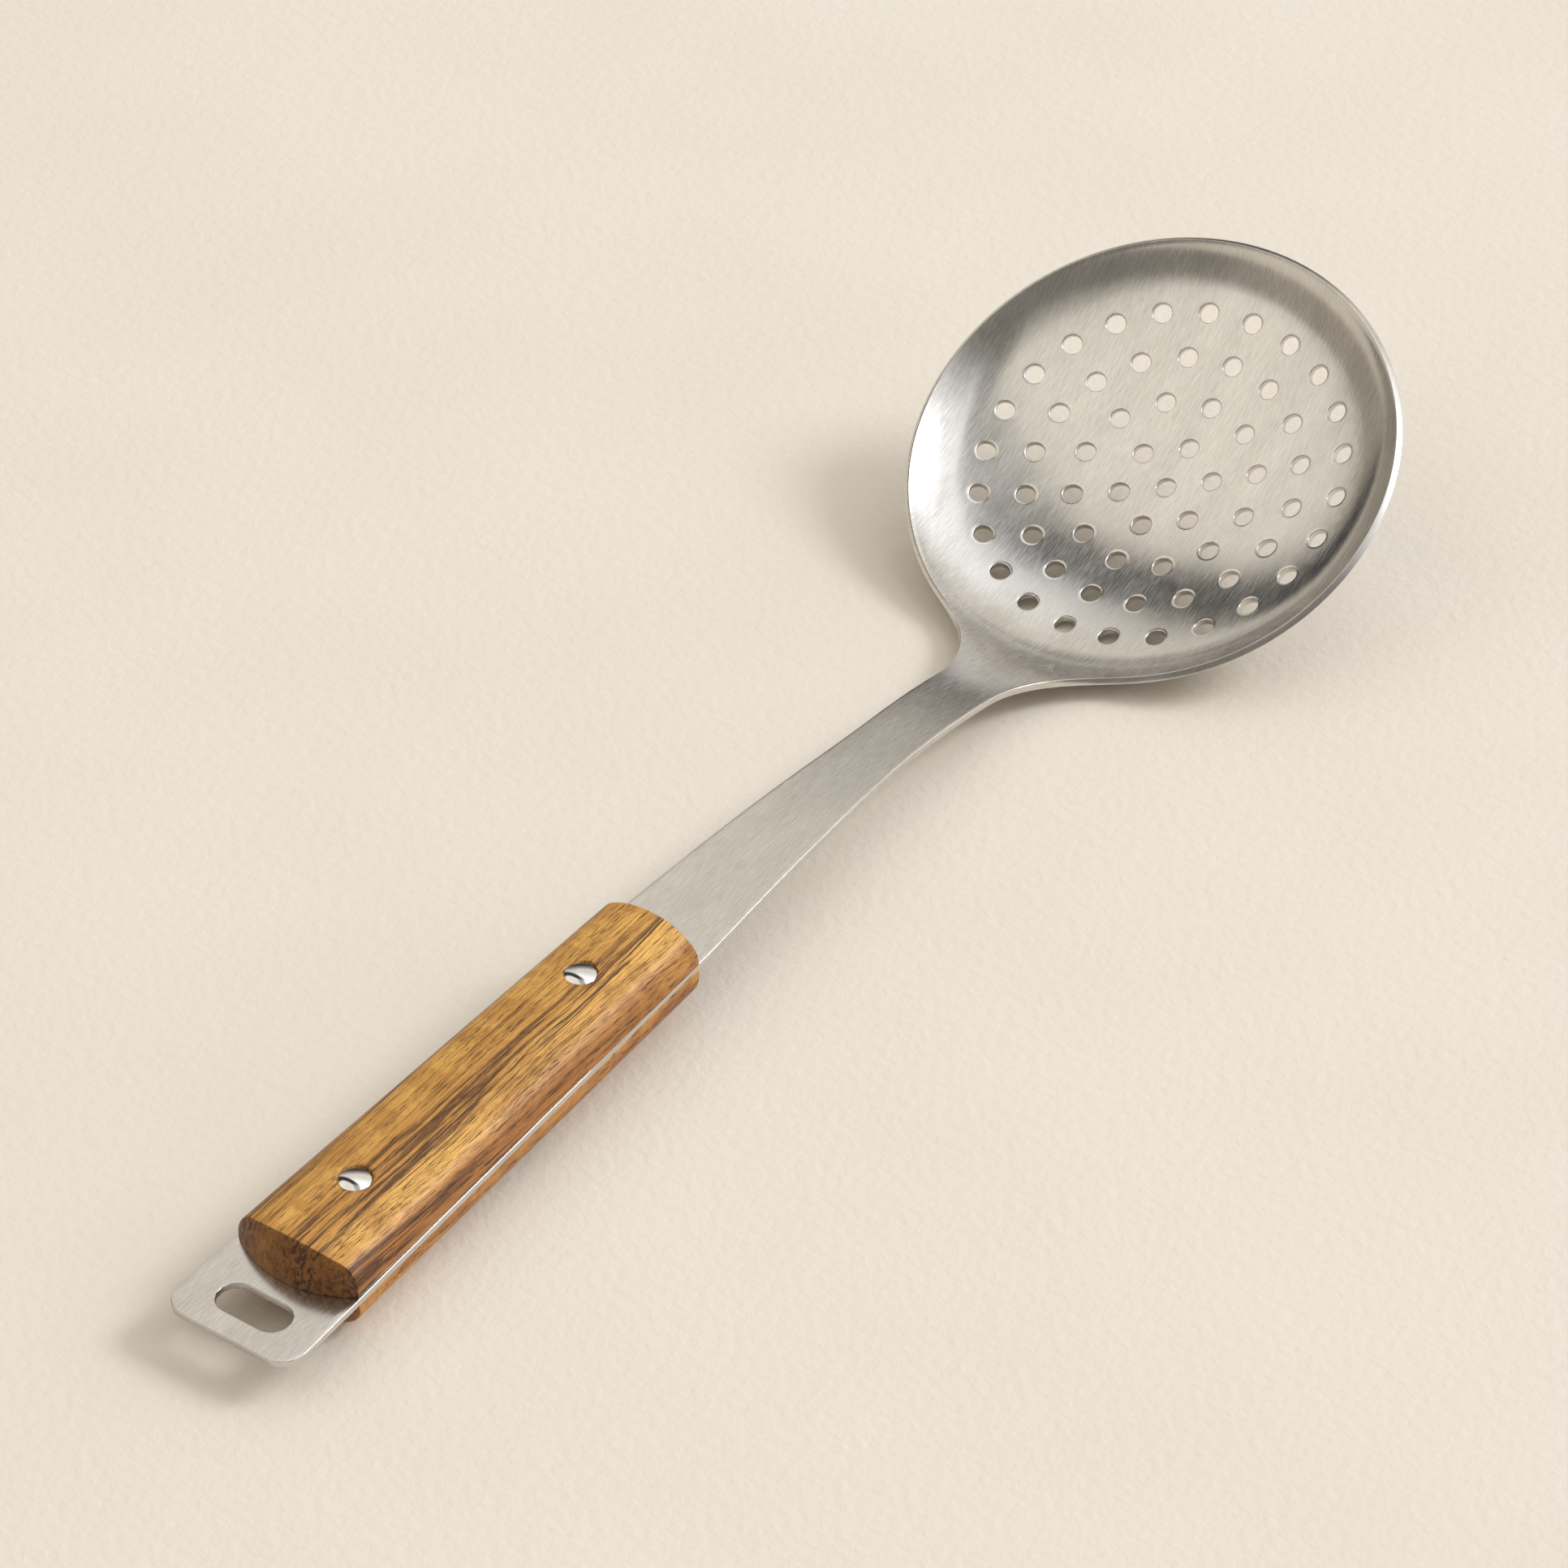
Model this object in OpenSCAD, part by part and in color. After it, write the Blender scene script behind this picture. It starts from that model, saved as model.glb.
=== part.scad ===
// Kitchen skimmer: one pressed steel blade, two wooden handle scales and
// two cutlery rivets, each made of a cap half and a post half.
//
// The pieces are drawn in the frame of the flat tang: X runs from the end of
// the tab toward the bowl, Y to the left, Z up from the tang's upper face.
// The dish has a frame of its own, tilted about Y. The last step leans the
// whole skimmer back on its dish and the heel of its handle, as it lies on a table.

/* [Sheet] */
// Thickness of the steel sheet
sheet_t = 1.5; // [1.2:0.1:1.8]

/* [Dish] */
// Radius of the dish's inner face at the rim
rim_r = 52.2; // [51:0.2:54]
// Spherical radius of the dish's floor
dish_r = 130; // [125:1:140]
// Radius of the bend between the floor and the rim
wall_r = 21; // [19:0.5:23]
// Slope of the wall at the rim, in degrees
rim_slope = 50; // [48:1:52]
// Angle between the dish and the tang, in degrees
dish_tilt = 26; // [25:0.5:27]

/* [Drain holes] */
// Diameter of a drain hole
hole_d = 4.2; // [3.5:0.1:4.8]
// Distance between neighbouring rings, along the sheet
hole_pitch = 10; // [9.5:0.1:10.2]
// Number of rings around the centre hole
hole_rings = 4; // [2:1:4]

/* [Neck and shank] */
// Width of the shank where it is narrowest
neck_w = 13.9; // [12:0.1:16]
// Radius in plan of the fillets between the shank and the rim
neck_fillet_r = 31; // [29:0.5:33]
// Where the flat tang begins to bend down
bend_x = 150; // [145:1:155]
// Radii of the three bends, from the tang to the rim
bend_r = [530, 195, 97];
// Slope of the shank at the end of the first two bends, in degrees
bend_slope = [7, 16];

/* [Tang and tab] */
// Width of the tang at the end of the tab
tab_w = 30.8; // [29:0.2:32]
// Width of the tang where it leaves the handle
tang_front_w = 22.2; // [21:0.2:23]
// Radius of the tab's corners
tab_corner_r = 5; // [3:0.5:6]
// Length of the hanging slot, across the tab
slot_l = 16.6; // [14:0.2:18]
// Width of the hanging slot
slot_w = 7.7; // [6:0.1:9]
// Distance from the tab's end to the middle of the slot
slot_x = 8.8; // [8:0.1:9.5]

/* [Handle scales] */
// Where the scales begin, at the middle of their rear end
scale_x0 = 16.9; // [16.5:0.1:18]
// Where the scales end, at the middle of their front end
scale_x1 = 132.7; // [130:0.1:136]
// Width of a scale at its rear end
scale_rear_w = 29; // [27:0.2:30]
// Width of a scale at its front end
scale_front_w = 22.8; // [22:0.2:24]
// Thickness of a scale along its ridge
scale_t = 8.8; // [8:0.1:9.5]
// Radius of the crown at the rear end
crown_rear_r = 31; // [29:1:34]
// Radius of the crown at the front end
crown_front_r = 19; // [18:0.5:21]
// Radius of the shoulder between the crown and the side
shoulder_r = 6; // [5:0.5:7]
// Radius of the rounded ends in plan
end_plan_r = 24.7; // [23:0.1:27]
// Radius of the rounded ends seen from the side
end_side_r = 13; // [11:0.5:15]

/* [Rivets] */
// Distances from the tab's end to the rear rivet and to the front rivet
rivet_x = [39.1, 107.7];
// Diameter of a rivet's head
rivet_head_d = 6.6; // [6:0.1:7]
// Height of the head's rim
rivet_rim_h = 0.8; // [0.5:0.1:1]
// Height of the head's dome above its rim
rivet_dome_h = 0.8; // [0.5:0.1:0.9]
// Outer diameter of the cap's sleeve
sleeve_d = 5; // [4.4:0.1:5.2]
// Diameter of the post, pressed into the sleeve
post_d = 3.4; // [2.8:0.1:3.6]

/* [Hidden] */
$fn = 96;

steel_colour = [0.74, 0.74, 0.73];
polish_colour = [0.86, 0.86, 0.87];
wood_colour = [0.74, 0.47, 0.21];

// How far the cutting shapes reach past what they cut.
past = 5;
// How far a shape runs on where it only has to be cut off by another.
spare_l = 1;

// --- Dish, in its own frame: origin on the floor's centre, Z up its axis ---

// Slope at which the floor meets the wall's bend.
floor_slope = asin((rim_r - wall_r * sin(rim_slope)) / (dish_r - wall_r));
// Centre of the wall's bend, as distance from the axis and height.
wall_c = [(dish_r - wall_r) * sin(floor_slope), dish_r - (dish_r - wall_r) * cos(floor_slope)];
// The rim: the end of the wall's bend on the inner face.
rim_point = wall_c + wall_r * [sin(rim_slope), -cos(rim_slope)];
// Centre of the bend that carries the wall over the rim into the neck.
neck_slope = dish_tilt + bend_slope[1];
neck_c = rim_point + bend_r[2] * [sin(rim_slope), -cos(rim_slope)];
// Centre of the rim's rounded edge, half way through the sheet.
lip_c = rim_point + sheet_t / 2 * [sin(rim_slope), -cos(rim_slope)];

// --- Shank, in the tang's frame, as [x, z] ---

// Slope of the shank where it meets the rim.
shank_end_slope = rim_slope - dish_tilt;
slopes = [0, bend_slope[0], bend_slope[1], shank_end_slope];
// Point on a circle at the place where it slopes down by an angle.
function crest(centre, r, slope) = centre + r * [sin(slope), cos(slope)];
bend_c0 = [bend_x, -bend_r[0]];
bend_c1 = crest(bend_c0, bend_r[0] - bend_r[1], slopes[1]);
bend_c2 = crest(bend_c1, bend_r[1] - bend_r[2], slopes[2]);
bend_centres = [bend_c0, bend_c1, bend_c2];
// Where the shank is narrowest: a little before its last bend. Its width stops
// shrinking a waist's length before that.
neck_lead = 10;
waist_l = 30;
neck_x = crest(bend_c1, bend_r[1], slopes[2])[0] - neck_lead;
waist_x = neck_x - waist_l;
// Where the flat shank gives way to the neck, which curves around the dish's
// axis. The neck's sides rise above its middle by join_rise, and the shank
// meets them half way up.
join_lead = 8;
join_x = neck_x + join_lead;
join_r = rim_r + bend_r[2] * (sin(rim_slope) - sin(neck_slope));
join_rise = (neck_w / 2) ^ 2 / (2 * join_r) * tan(neck_slope);
// Where the neck's fillets have run into the rim, before they stand square to it.
fillet_left = 2;
flare_end_x = neck_x + neck_fillet_r - fillet_left;
// The rim, reached at the end of the last bend.
shank_end = crest(bend_c2, bend_r[2], shank_end_slope);
// The origin of the dish's frame.
dish_x = shank_end[0] + rim_point[0] * cos(dish_tilt) + rim_point[1] * sin(dish_tilt);
dish_z = shank_end[1] + rim_point[0] * sin(dish_tilt) - rim_point[1] * cos(dish_tilt) - join_rise / 2;

// --- Tang ---

// The tang keeps its taper a little past the scales.
tang_lead = 2;
tang_front_x = scale_x1 + tang_lead;
// The head's rim ends a little below the scale's ridge.
rim_sink = 0.4;
rivet_seat = scale_t - rim_sink - rivet_rim_h;
seat_clearance = 0.1;
// How far the sleeve and the bore inside it stop short of the heads' seats.
sleeve_gap = 1;
// How far the post stops short of the cap's seat.
post_gap = 2;

// --- How the skimmer lies: the sheet's outer face under the dish and the
//     heel of the lower scale touch the table ---

heel = [scale_x0 + end_side_r - sqrt(end_side_r ^ 2 - scale_t ^ 2), -sheet_t - scale_t];
belly_r = wall_r + sheet_t;
// Centre of the belly's bend on the handle's side, in the tang's frame.
belly_c = [dish_x - wall_c[0] * cos(dish_tilt) - wall_c[1] * sin(dish_tilt),
           dish_z - wall_c[0] * sin(dish_tilt) + wall_c[1] * cos(dish_tilt)];
heel_to_belly = belly_c - heel;
lean = asin(belly_r / norm(heel_to_belly)) - atan2(heel_to_belly[1], heel_to_belly[0]);
rest_z = -(heel[0] * sin(lean) + heel[1] * cos(lean));
// The far edge of the rim, for centring the skimmer along X.
far_tilt = dish_tilt + lean;
far_x = dish_x * cos(lean) - dish_z * sin(lean)
      + lip_c[0] * cos(far_tilt) - lip_c[1] * sin(far_tilt) + sheet_t / 2;

// Puts a piece drawn in the tang's frame where it lies on the table.
module lying() {
    translate([-far_x / 2, 0, rest_z])
        rotate([0, -lean, 0])
            children();
}

// Puts a shape drawn in the dish's frame into the tang's frame.
module at_dish() {
    translate([dish_x, 0, dish_z])
        rotate([0, -dish_tilt, 0])
            children();
}

// --- Outlines ---

// A bent strip of sheet: the part of a ring between two directions, which are
// measured from +Y toward +X.
module ring_sector(r_inner, r_outer, from, to) {
    reach = r_outer * 1.1;
    intersection() {
        difference() {
            circle(r = r_outer);
            circle(r = r_inner);
        }
        polygon([[0, 0],
                 reach * [sin(from), cos(from)],
                 reach * [sin((from + to) / 2), cos((from + to) / 2)],
                 reach * [sin(to), cos(to)]]);
    }
}

// The sheet from the floor's centre to the rim, with a rounded edge.
module dish_section() {
    translate([0, dish_r])
        ring_sector(dish_r, dish_r + sheet_t, 180 - floor_slope, 180);
    translate(wall_c)
        ring_sector(wall_r, wall_r + sheet_t, 180 - rim_slope, 180 - floor_slope);
    translate(lip_c)
        circle(d = sheet_t);
}

// The sheet that carries the wall on beyond the rim, into the neck, a little
// further than the place where the shank takes over.
module flare_section() {
    spare = 2;
    translate(neck_c)
        ring_sector(bend_r[2] - sheet_t, bend_r[2], -rim_slope, spare - neck_slope);
}

// The tab, tang and shank seen from the side.
module shank_section() {
    translate([0, -sheet_t])
        square([bend_x, sheet_t]);
    for (i = [0 : 1]) {
        translate(bend_centres[i])
            ring_sector(bend_r[i] - sheet_t, bend_r[i], slopes[i], slopes[i + 1]);
    }
}

// The tab, tang and shank seen from above, up to the neck.
module shank_plan() {
    half_end = tab_w / 2;
    corner = [tab_corner_r, half_end - tab_corner_r];
    difference() {
        polygon([[0, -half_end],
                 [tang_front_x, -tang_front_w / 2],
                 [waist_x, -neck_w / 2],
                 [join_x, -neck_w / 2],
                 [join_x, neck_w / 2],
                 [waist_x, neck_w / 2],
                 [tang_front_x, tang_front_w / 2],
                 [0, half_end]]);
        for (side = [-1, 1]) {
            difference() {
                translate([0, side * half_end])
                    square(2 * tab_corner_r, center = true);
                translate([corner[0], side * corner[1]])
                    circle(r = tab_corner_r);
            }
        }
    }
}

// The flared neck seen from above, between two places along X: a strip with a
// concave fillet on each side.
module flare_plan(from, to) {
    fillet_y = neck_w / 2 + neck_fillet_r;
    difference() {
        translate([from, -fillet_y])
            square([to - from, 2 * fillet_y]);
        for (side = [-1, 1]) {
            translate([neck_x, side * fillet_y])
                circle(r = neck_fillet_r);
        }
    }
}

// --- Cutting tools ---

// All the drain holes: a centre hole and rings of six more holes each, every
// hole square to the dish's floor.
module drain_holes() {
    pitch_angle = hole_pitch / dish_r * 180 / PI;
    for (ring = [0 : hole_rings]) {
        holes = max(1, 6 * ring);
        for (i = [0 : holes - 1]) {
            translate([0, 0, dish_r])
                rotate([0, 180 - ring * pitch_angle, i * 360 / holes])
                    translate([0, 0, dish_r - past])
                        cylinder(d = hole_d, h = sheet_t + 2 * past);
        }
    }
}

// The hanging slot: two round ends and a straight middle.
module hanging_slot() {
    end_y = (slot_l - slot_w) / 2;
    translate([slot_x, 0, -sheet_t - past]) {
        for (side = [-1, 1]) {
            translate([0, side * end_y, 0])
                cylinder(d = slot_w, h = sheet_t + 2 * past);
        }
        translate([-slot_w / 2, -end_y, 0])
            cube([slot_w, 2 * end_y, sheet_t + 2 * past]);
    }
}

// Holes for the two rivets' sleeves, right through the handle.
module rivet_holes() {
    height = 2 * (scale_t + past);
    for (x = rivet_x) {
        translate([x, 0, -sheet_t / 2])
            cylinder(d = sleeve_d, h = height, center = true);
    }
}

// --- Handle scale, drawn as the upper one with its flat face on Z = 0 ---

// The solid under the crown: a cone lying with its ridge level.
module crown_body() {
    cone_l = scale_x1 - scale_x0;
    cone_angle = atan2(crown_rear_r - crown_front_r, cone_l);
    translate([scale_x0, 0, scale_t])
        rotate([0, 90 - cone_angle, 0])
            translate([crown_rear_r, 0, 0])
                cylinder(r1 = crown_rear_r, r2 = crown_front_r, h = cone_l + spare_l, $fn = 180);
}

// A long bar whose upper outer edge is the scale's rounded shoulder.
module shoulder_body() {
    // How much flatter the shoulder starts than the crown ends, in degrees.
    slope_step = 4;
    crown_slope = asin(scale_front_w / 2 / crown_front_r) - slope_step;
    edge_z = scale_t - crown_front_r + sqrt(crown_front_r ^ 2 - (scale_front_w / 2) ^ 2);
    shoulder_z = edge_z + shoulder_r * tan(crown_slope) - shoulder_r / cos(crown_slope);
    bar_w = scale_rear_w;
    taper = atan2((scale_rear_w - scale_front_w) / 2, scale_x1 - scale_x0);
    translate([scale_x0, scale_rear_w / 2, 0])
        rotate([0, 0, -taper])
            rotate([90, 0, 90])
                translate([0, 0, -past])
                    linear_extrude(scale_x1 - scale_x0 + 2 * past) {
                        translate([-shoulder_r, shoulder_z])
                            circle(r = shoulder_r);
                        translate([-bar_w, 0])
                            square([bar_w, shoulder_z]);
                        translate([-bar_w, 0])
                            square([bar_w - shoulder_r * sin(crown_slope), scale_t + spare_l]);
                    }
}

// A scale's rounded rear end, carried forward as a bar to the other end.
module end_body() {
    centre_x = scale_x0 + end_plan_r;
    translate([centre_x, 0, 0])
        rotate_extrude($fn = 180)
            intersection() {
                union() {
                    square([end_plan_r - end_side_r, end_side_r]);
                    translate([end_plan_r - end_side_r, 0])
                        circle(r = end_side_r);
                }
                square([end_plan_r, scale_t + spare_l]);
            }
    translate([centre_x, -scale_rear_w, 0])
        cube([scale_x1, 2 * scale_rear_w, scale_t + spare_l]);
}

// One whole scale with its rivet holes and the seats for the rivets' heads.
module scale_body() {
    ends_sum = scale_x0 + scale_x1;
    difference() {
        intersection() {
            crown_body();
            shoulder_body();
            mirror([0, 1, 0])
                shoulder_body();
            end_body();
            translate([ends_sum, 0, 0])
                mirror([1, 0, 0])
                    end_body();
        }
        rivet_holes();
        for (x = rivet_x) {
            translate([x, 0, rivet_seat])
                cylinder(d = rivet_head_d + 2 * seat_clearance, h = scale_t);
        }
    }
}

// --- Rivets, drawn for the upper face with the tang's upper face on Z = 0 ---

// A head: a low rim and a spherical dome on it.
module rivet_head() {
    dome_r = ((rivet_head_d / 2) ^ 2 + rivet_dome_h ^ 2) / (2 * rivet_dome_h);
    translate([0, 0, rivet_seat]) {
        cylinder(d = rivet_head_d, h = rivet_rim_h);
        intersection() {
            translate([0, 0, rivet_rim_h + rivet_dome_h - dome_r])
                sphere(r = dome_r);
            cylinder(d = rivet_head_d, h = rivet_rim_h + rivet_dome_h + spare_l);
        }
    }
}

// The cap half: a head on a hollow sleeve that reaches nearly to the far seat.
module rivet_cap() {
    far_seat = -sheet_t - rivet_seat;
    sleeve_end = far_seat + sleeve_gap;
    bore_top = rivet_seat - sleeve_gap;
    rivet_head();
    difference() {
        translate([0, 0, sleeve_end])
            cylinder(d = sleeve_d, h = rivet_seat - sleeve_end);
        translate([0, 0, sleeve_end - past])
            cylinder(d = post_d, h = bore_top - sleeve_end + past);
    }
}

// The post half: a head below the handle and a solid post inside the sleeve.
module rivet_post() {
    far_seat = -sheet_t - rivet_seat;
    post_top = rivet_seat - post_gap;
    translate([0, 0, -sheet_t])
        mirror([0, 0, 1])
            rivet_head();
    translate([0, 0, far_seat])
        cylinder(d = post_d, h = post_top - far_seat);
}

// --- Sub-parts ---

// One sheet of steel: perforated dish, flared neck, curved shank, tang and tab.
module blade() {
    color(steel_colour)
        lying()
            difference() {
                union() {
                    at_dish()
                        rotate_extrude($fn = 180)
                            dish_section();
                    intersection() {
                        at_dish()
                            rotate_extrude($fn = 180)
                                flare_section();
                        translate([0, 0, -dish_r])
                            linear_extrude(dish_r)
                                flare_plan(join_x, flare_end_x);
                    }
                    intersection() {
                        rotate([90, 0, 0])
                            linear_extrude(tab_w + spare_l, center = true)
                                shank_section();
                        translate([0, 0, -dish_r])
                            linear_extrude(2 * dish_r) {
                                shank_plan();
                                flare_plan(neck_x, join_x);
                            }
                    }
                }
                at_dish()
                    drain_holes();
                hanging_slot();
                rivet_holes();
            }
}

module upper_scale() {
    color(wood_colour)
        lying()
            scale_body();
}

module lower_scale() {
    color(wood_colour)
        lying()
            translate([0, 0, -sheet_t])
                mirror([0, 0, 1])
                    scale_body();
}

// A rivet's cap half at the rear (0) or the front (1).
module placed_cap(place) {
    color(polish_colour)
        lying()
            translate([rivet_x[place], 0, 0])
                rivet_cap();
}

// A rivet's post half at the rear (0) or the front (1).
module placed_post(place) {
    color(polish_colour)
        lying()
            translate([rivet_x[place], 0, 0])
                rivet_post();
}

blade();
upper_scale();
lower_scale();
placed_cap(1);  // front_rivet_cap
placed_post(1);  // front_rivet_post
placed_cap(0);  // rear_rivet_cap
placed_post(0);  // rear_rivet_post
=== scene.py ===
"""Kitchen skimmer: the looks of its pressed steel blade, wooden handle and rivets.

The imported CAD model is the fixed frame.  The pieces are drawn in millimetres, in the
frame of the flat tang: X runs from the end of the tab toward the bowl, Y to the left
and Z up from the tang's upper face.  The last step of each piece turns millimetres
into metres and puts it where it lies in the frame.
"""

from __future__ import annotations

import logging
import math
from dataclasses import dataclass, field
from enum import Enum
from typing import Any, Callable, Iterable, Sequence

import bmesh
import bpy
from bmesh.types import BMEdge, BMesh, BMFace, BMVert
from mathutils import Matrix, Vector

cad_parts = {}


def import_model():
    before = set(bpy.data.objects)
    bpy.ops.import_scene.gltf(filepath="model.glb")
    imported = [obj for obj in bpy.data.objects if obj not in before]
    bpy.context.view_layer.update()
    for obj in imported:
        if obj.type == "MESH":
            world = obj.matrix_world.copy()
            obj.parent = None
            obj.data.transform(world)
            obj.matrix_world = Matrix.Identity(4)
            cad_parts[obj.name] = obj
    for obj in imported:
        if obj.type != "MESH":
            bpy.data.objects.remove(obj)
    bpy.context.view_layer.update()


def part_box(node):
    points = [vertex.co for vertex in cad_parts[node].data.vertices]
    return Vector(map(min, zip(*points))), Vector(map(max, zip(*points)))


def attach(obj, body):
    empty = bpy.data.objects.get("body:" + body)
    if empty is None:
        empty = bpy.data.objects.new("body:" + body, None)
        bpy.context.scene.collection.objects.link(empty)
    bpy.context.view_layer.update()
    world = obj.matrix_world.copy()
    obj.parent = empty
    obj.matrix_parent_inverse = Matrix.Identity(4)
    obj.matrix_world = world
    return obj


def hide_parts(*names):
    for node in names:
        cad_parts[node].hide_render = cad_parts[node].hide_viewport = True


LOG = logging.getLogger("skimmer")
MM = 0.001
BODY = "root"
GRAIN = "grain"
FACING = "facing"
# Points nearer than this count as one, in the units of the mesh.
SAME_PLACE = 1e-4
# Width of an inset ring before its vertices go to their places, in millimetres.
FIRST_INSET = 0.02
ROUNDING_ROWS = 3


class Slot(Enum):
    """The record's material slots."""

    SHEET = "brushed_sheet"
    WOOD = "oiled_wood"
    RIVET = "polished_rivet"


class Side(Enum):
    """The two faces of the tang; the value is the sign of Z on that side."""

    UPPER = 1
    LOWER = -1


def smoothstep(low: float, high: float, value: float) -> float:
    """0 below low, 1 above high, with a soft change between them."""
    t = min(max((value - low) / (high - low), 0.0), 1.0)
    return t * t * (3 - 2 * t)


# --------------------------------------------------------------------------
# Sizes that several pieces share
# --------------------------------------------------------------------------


@dataclass(frozen=True)
class HandleSizes:
    """Sizes of the handle that the blade, the scales and the rivets share.

    Attributes:
        sheet: Thickness of the steel sheet.
        scale_start: Where the scales begin, at the middle of their rear end.
        scale_end: Where the scales end, at the middle of their front end.
        scale_thickness: Thickness of a scale along its ridge.
        end_plan_radius: Radius of a scale's ends in plan.
        end_side_radius: Radius of a scale's ends seen from the side.
        rivet_places: Distances from the tab's end to the two rivets.
        sleeve_radius: Radius of the hole through the handle.
        head_radius: Radius of a rivet's head.
        head_seat: Height of the heads' seats above the tang.
        seat_clearance: Gap around a head in its seat.
    """

    sheet: float = 1.5
    scale_start: float = 16.9
    scale_end: float = 132.7
    scale_thickness: float = 8.8
    end_plan_radius: float = 24.7
    end_side_radius: float = 13.0
    rivet_places: tuple[float, float] = (39.1, 107.7)
    sleeve_radius: float = 2.5
    head_radius: float = 3.3
    head_seat: float = 7.6
    seat_clearance: float = 0.1


@dataclass(frozen=True)
class Rest:
    """How the skimmer lies in the frame.

    Attributes:
        lean: Angle of the tang to the table, in radians.
        tab_end: The middle of the tab's upper edge, in metres.
    """

    lean: float
    tab_end: Vector

    @classmethod
    def from_frame(cls, sizes: HandleSizes) -> Rest:
        """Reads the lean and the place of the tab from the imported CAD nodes.

        Args:
            sizes: The handle's sizes.

        Returns:
            How the skimmer lies.
        """
        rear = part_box("rear_rivet_cap")[0]
        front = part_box("front_rivet_cap")[0]
        lean = math.atan2(front.z - rear.z, front.x - rear.x)
        end, thickness = sizes.end_side_radius, sizes.scale_thickness
        set_back = end - math.sqrt(end**2 - thickness**2)
        heel_x = sizes.scale_start + set_back
        heel_z = -sizes.sheet - thickness
        height = -(heel_x * math.sin(lean) + heel_z * math.cos(lean)) * MM
        return cls(lean, Vector((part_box("blade")[0].x, 0.0, height)))

    def matrix(self) -> Matrix:
        """Turns a point of the tang's frame, in millimetres, into the frame's metres."""
        turn = Matrix.Rotation(-self.lean, 4, "Y")
        return Matrix.Translation(self.tab_end) @ turn @ Matrix.Scale(MM, 4)


# --------------------------------------------------------------------------
# Mesh helpers
# --------------------------------------------------------------------------


def add_object(bm: BMesh, name: str) -> bpy.types.Object:
    """Makes a mesh an object of the scene.

    Args:
        bm: The mesh; it is freed.
        name: The object's name.

    Returns:
        The new object.
    """
    mesh = bpy.data.meshes.new(name)
    bm.to_mesh(mesh)
    bm.free()
    added = bpy.data.objects.new(name, mesh)
    bpy.context.scene.collection.objects.link(added)
    return added


def to_object(bm: BMesh, name: str, rest: Rest) -> bpy.types.Object:
    """Puts a finished mesh in its place in the frame and makes it an object.

    Args:
        bm: The mesh, in the tang's frame and in millimetres; it is freed.
        name: The piece's name.
        rest: How the skimmer lies.

    Returns:
        The new object, with its place in its mesh.
    """
    bm.transform(rest.matrix())
    piece = add_object(bm, name)
    faces = piece.data.polygons
    faces.foreach_set("use_smooth", [True] * len(faces))
    return piece


def sharp_edges(bm: BMesh, least_angle: float) -> list[BMEdge]:
    """The edges whose two faces turn by more than an angle, given in degrees."""
    limit = math.radians(least_angle)
    return [e for e in bm.edges if e.is_manifold and e.calc_face_angle(0.0) > limit]


def bevel(bm: BMesh, edges: Sequence[BMEdge], width: float) -> None:
    """Rounds some edges.

    Args:
        bm: The mesh.
        edges: The edges to round.
        width: How far the rounding reaches on each face.
    """
    bmesh.ops.bevel(
        bm,
        geom=list(edges),
        offset=width,
        offset_type="OFFSET",
        segments=ROUNDING_ROWS,
        profile=0.5,
        affect="EDGES",
        clamp_overlap=True,
        material=-1,
    )


def add_uv(piece: bpy.types.Object, to_uv: Callable[[Vector], tuple[float, float]]) -> None:
    """Gives a piece a UV map worked out from where each vertex lies.

    Args:
        piece: The piece.
        to_uv: Turns a point of the mesh into a pair of coordinates.
    """
    mesh = piece.data
    layer = mesh.uv_layers.new(name=GRAIN)
    at_vertex = [to_uv(v.co) for v in mesh.vertices]
    for loop in mesh.loops:
        layer.data[loop.index].uv = at_vertex[loop.vertex_index]


def mark_facing(piece: bpy.types.Object) -> None:
    """Stores how far each vertex faces along X, Y and Z, for its material to read."""
    facing = piece.data.attributes.new(FACING, "FLOAT_VECTOR", "POINT")
    for vert, value in zip(piece.data.vertices, facing.data):
        value.vector = [abs(share) for share in vert.normal]


# --------------------------------------------------------------------------
# The blade
# --------------------------------------------------------------------------


@dataclass(frozen=True)
class Bend:
    """One arc of the blade's middle section.

    Attributes:
        radius: Radius of the upper face.
        end_slope: Slope where the arc ends, in degrees.
        hollow: True where the face curves up, False where it bends over.
    """

    radius: float
    end_slope: float
    hollow: bool


@dataclass(frozen=True)
class Arc:
    """A bend that has its place: where it starts, and its centre."""

    bend: Bend
    start: Vector
    start_slope: float
    start_length: float

    @property
    def sign(self) -> int:
        """+1 on a hollow arc and -1 on one that bends over."""
        return 1 if self.bend.hollow else -1

    @property
    def centre(self) -> Vector:
        """Centre of the arc, as distance from the dish's axis and height."""
        normal = Vector((-math.sin(self.start_slope), math.cos(self.start_slope)))
        return self.start + self.sign * self.bend.radius * normal

    @property
    def end_slope(self) -> float:
        """Slope at the far end, in radians."""
        return math.radians(self.bend.end_slope)

    @property
    def end(self) -> Vector:
        """The arc's far end."""
        return self.at_slope(self.end_slope)

    @property
    def end_length(self) -> float:
        """Length along the sheet from the dish's axis to the far end."""
        return self.start_length + self.bend.radius * abs(self.end_slope - self.start_slope)

    def at_slope(self, slope: float) -> Vector:
        """The point of the arc that has a slope."""
        normal = Vector((-math.sin(slope), math.cos(slope)))
        return self.centre - self.sign * self.bend.radius * normal

    def slope_at(self, reach: float) -> float:
        """The slope at a distance from the dish's axis."""
        share = self.sign * (reach - self.centre.x) / self.bend.radius
        return math.asin(min(max(share, -1.0), 1.0))


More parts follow.
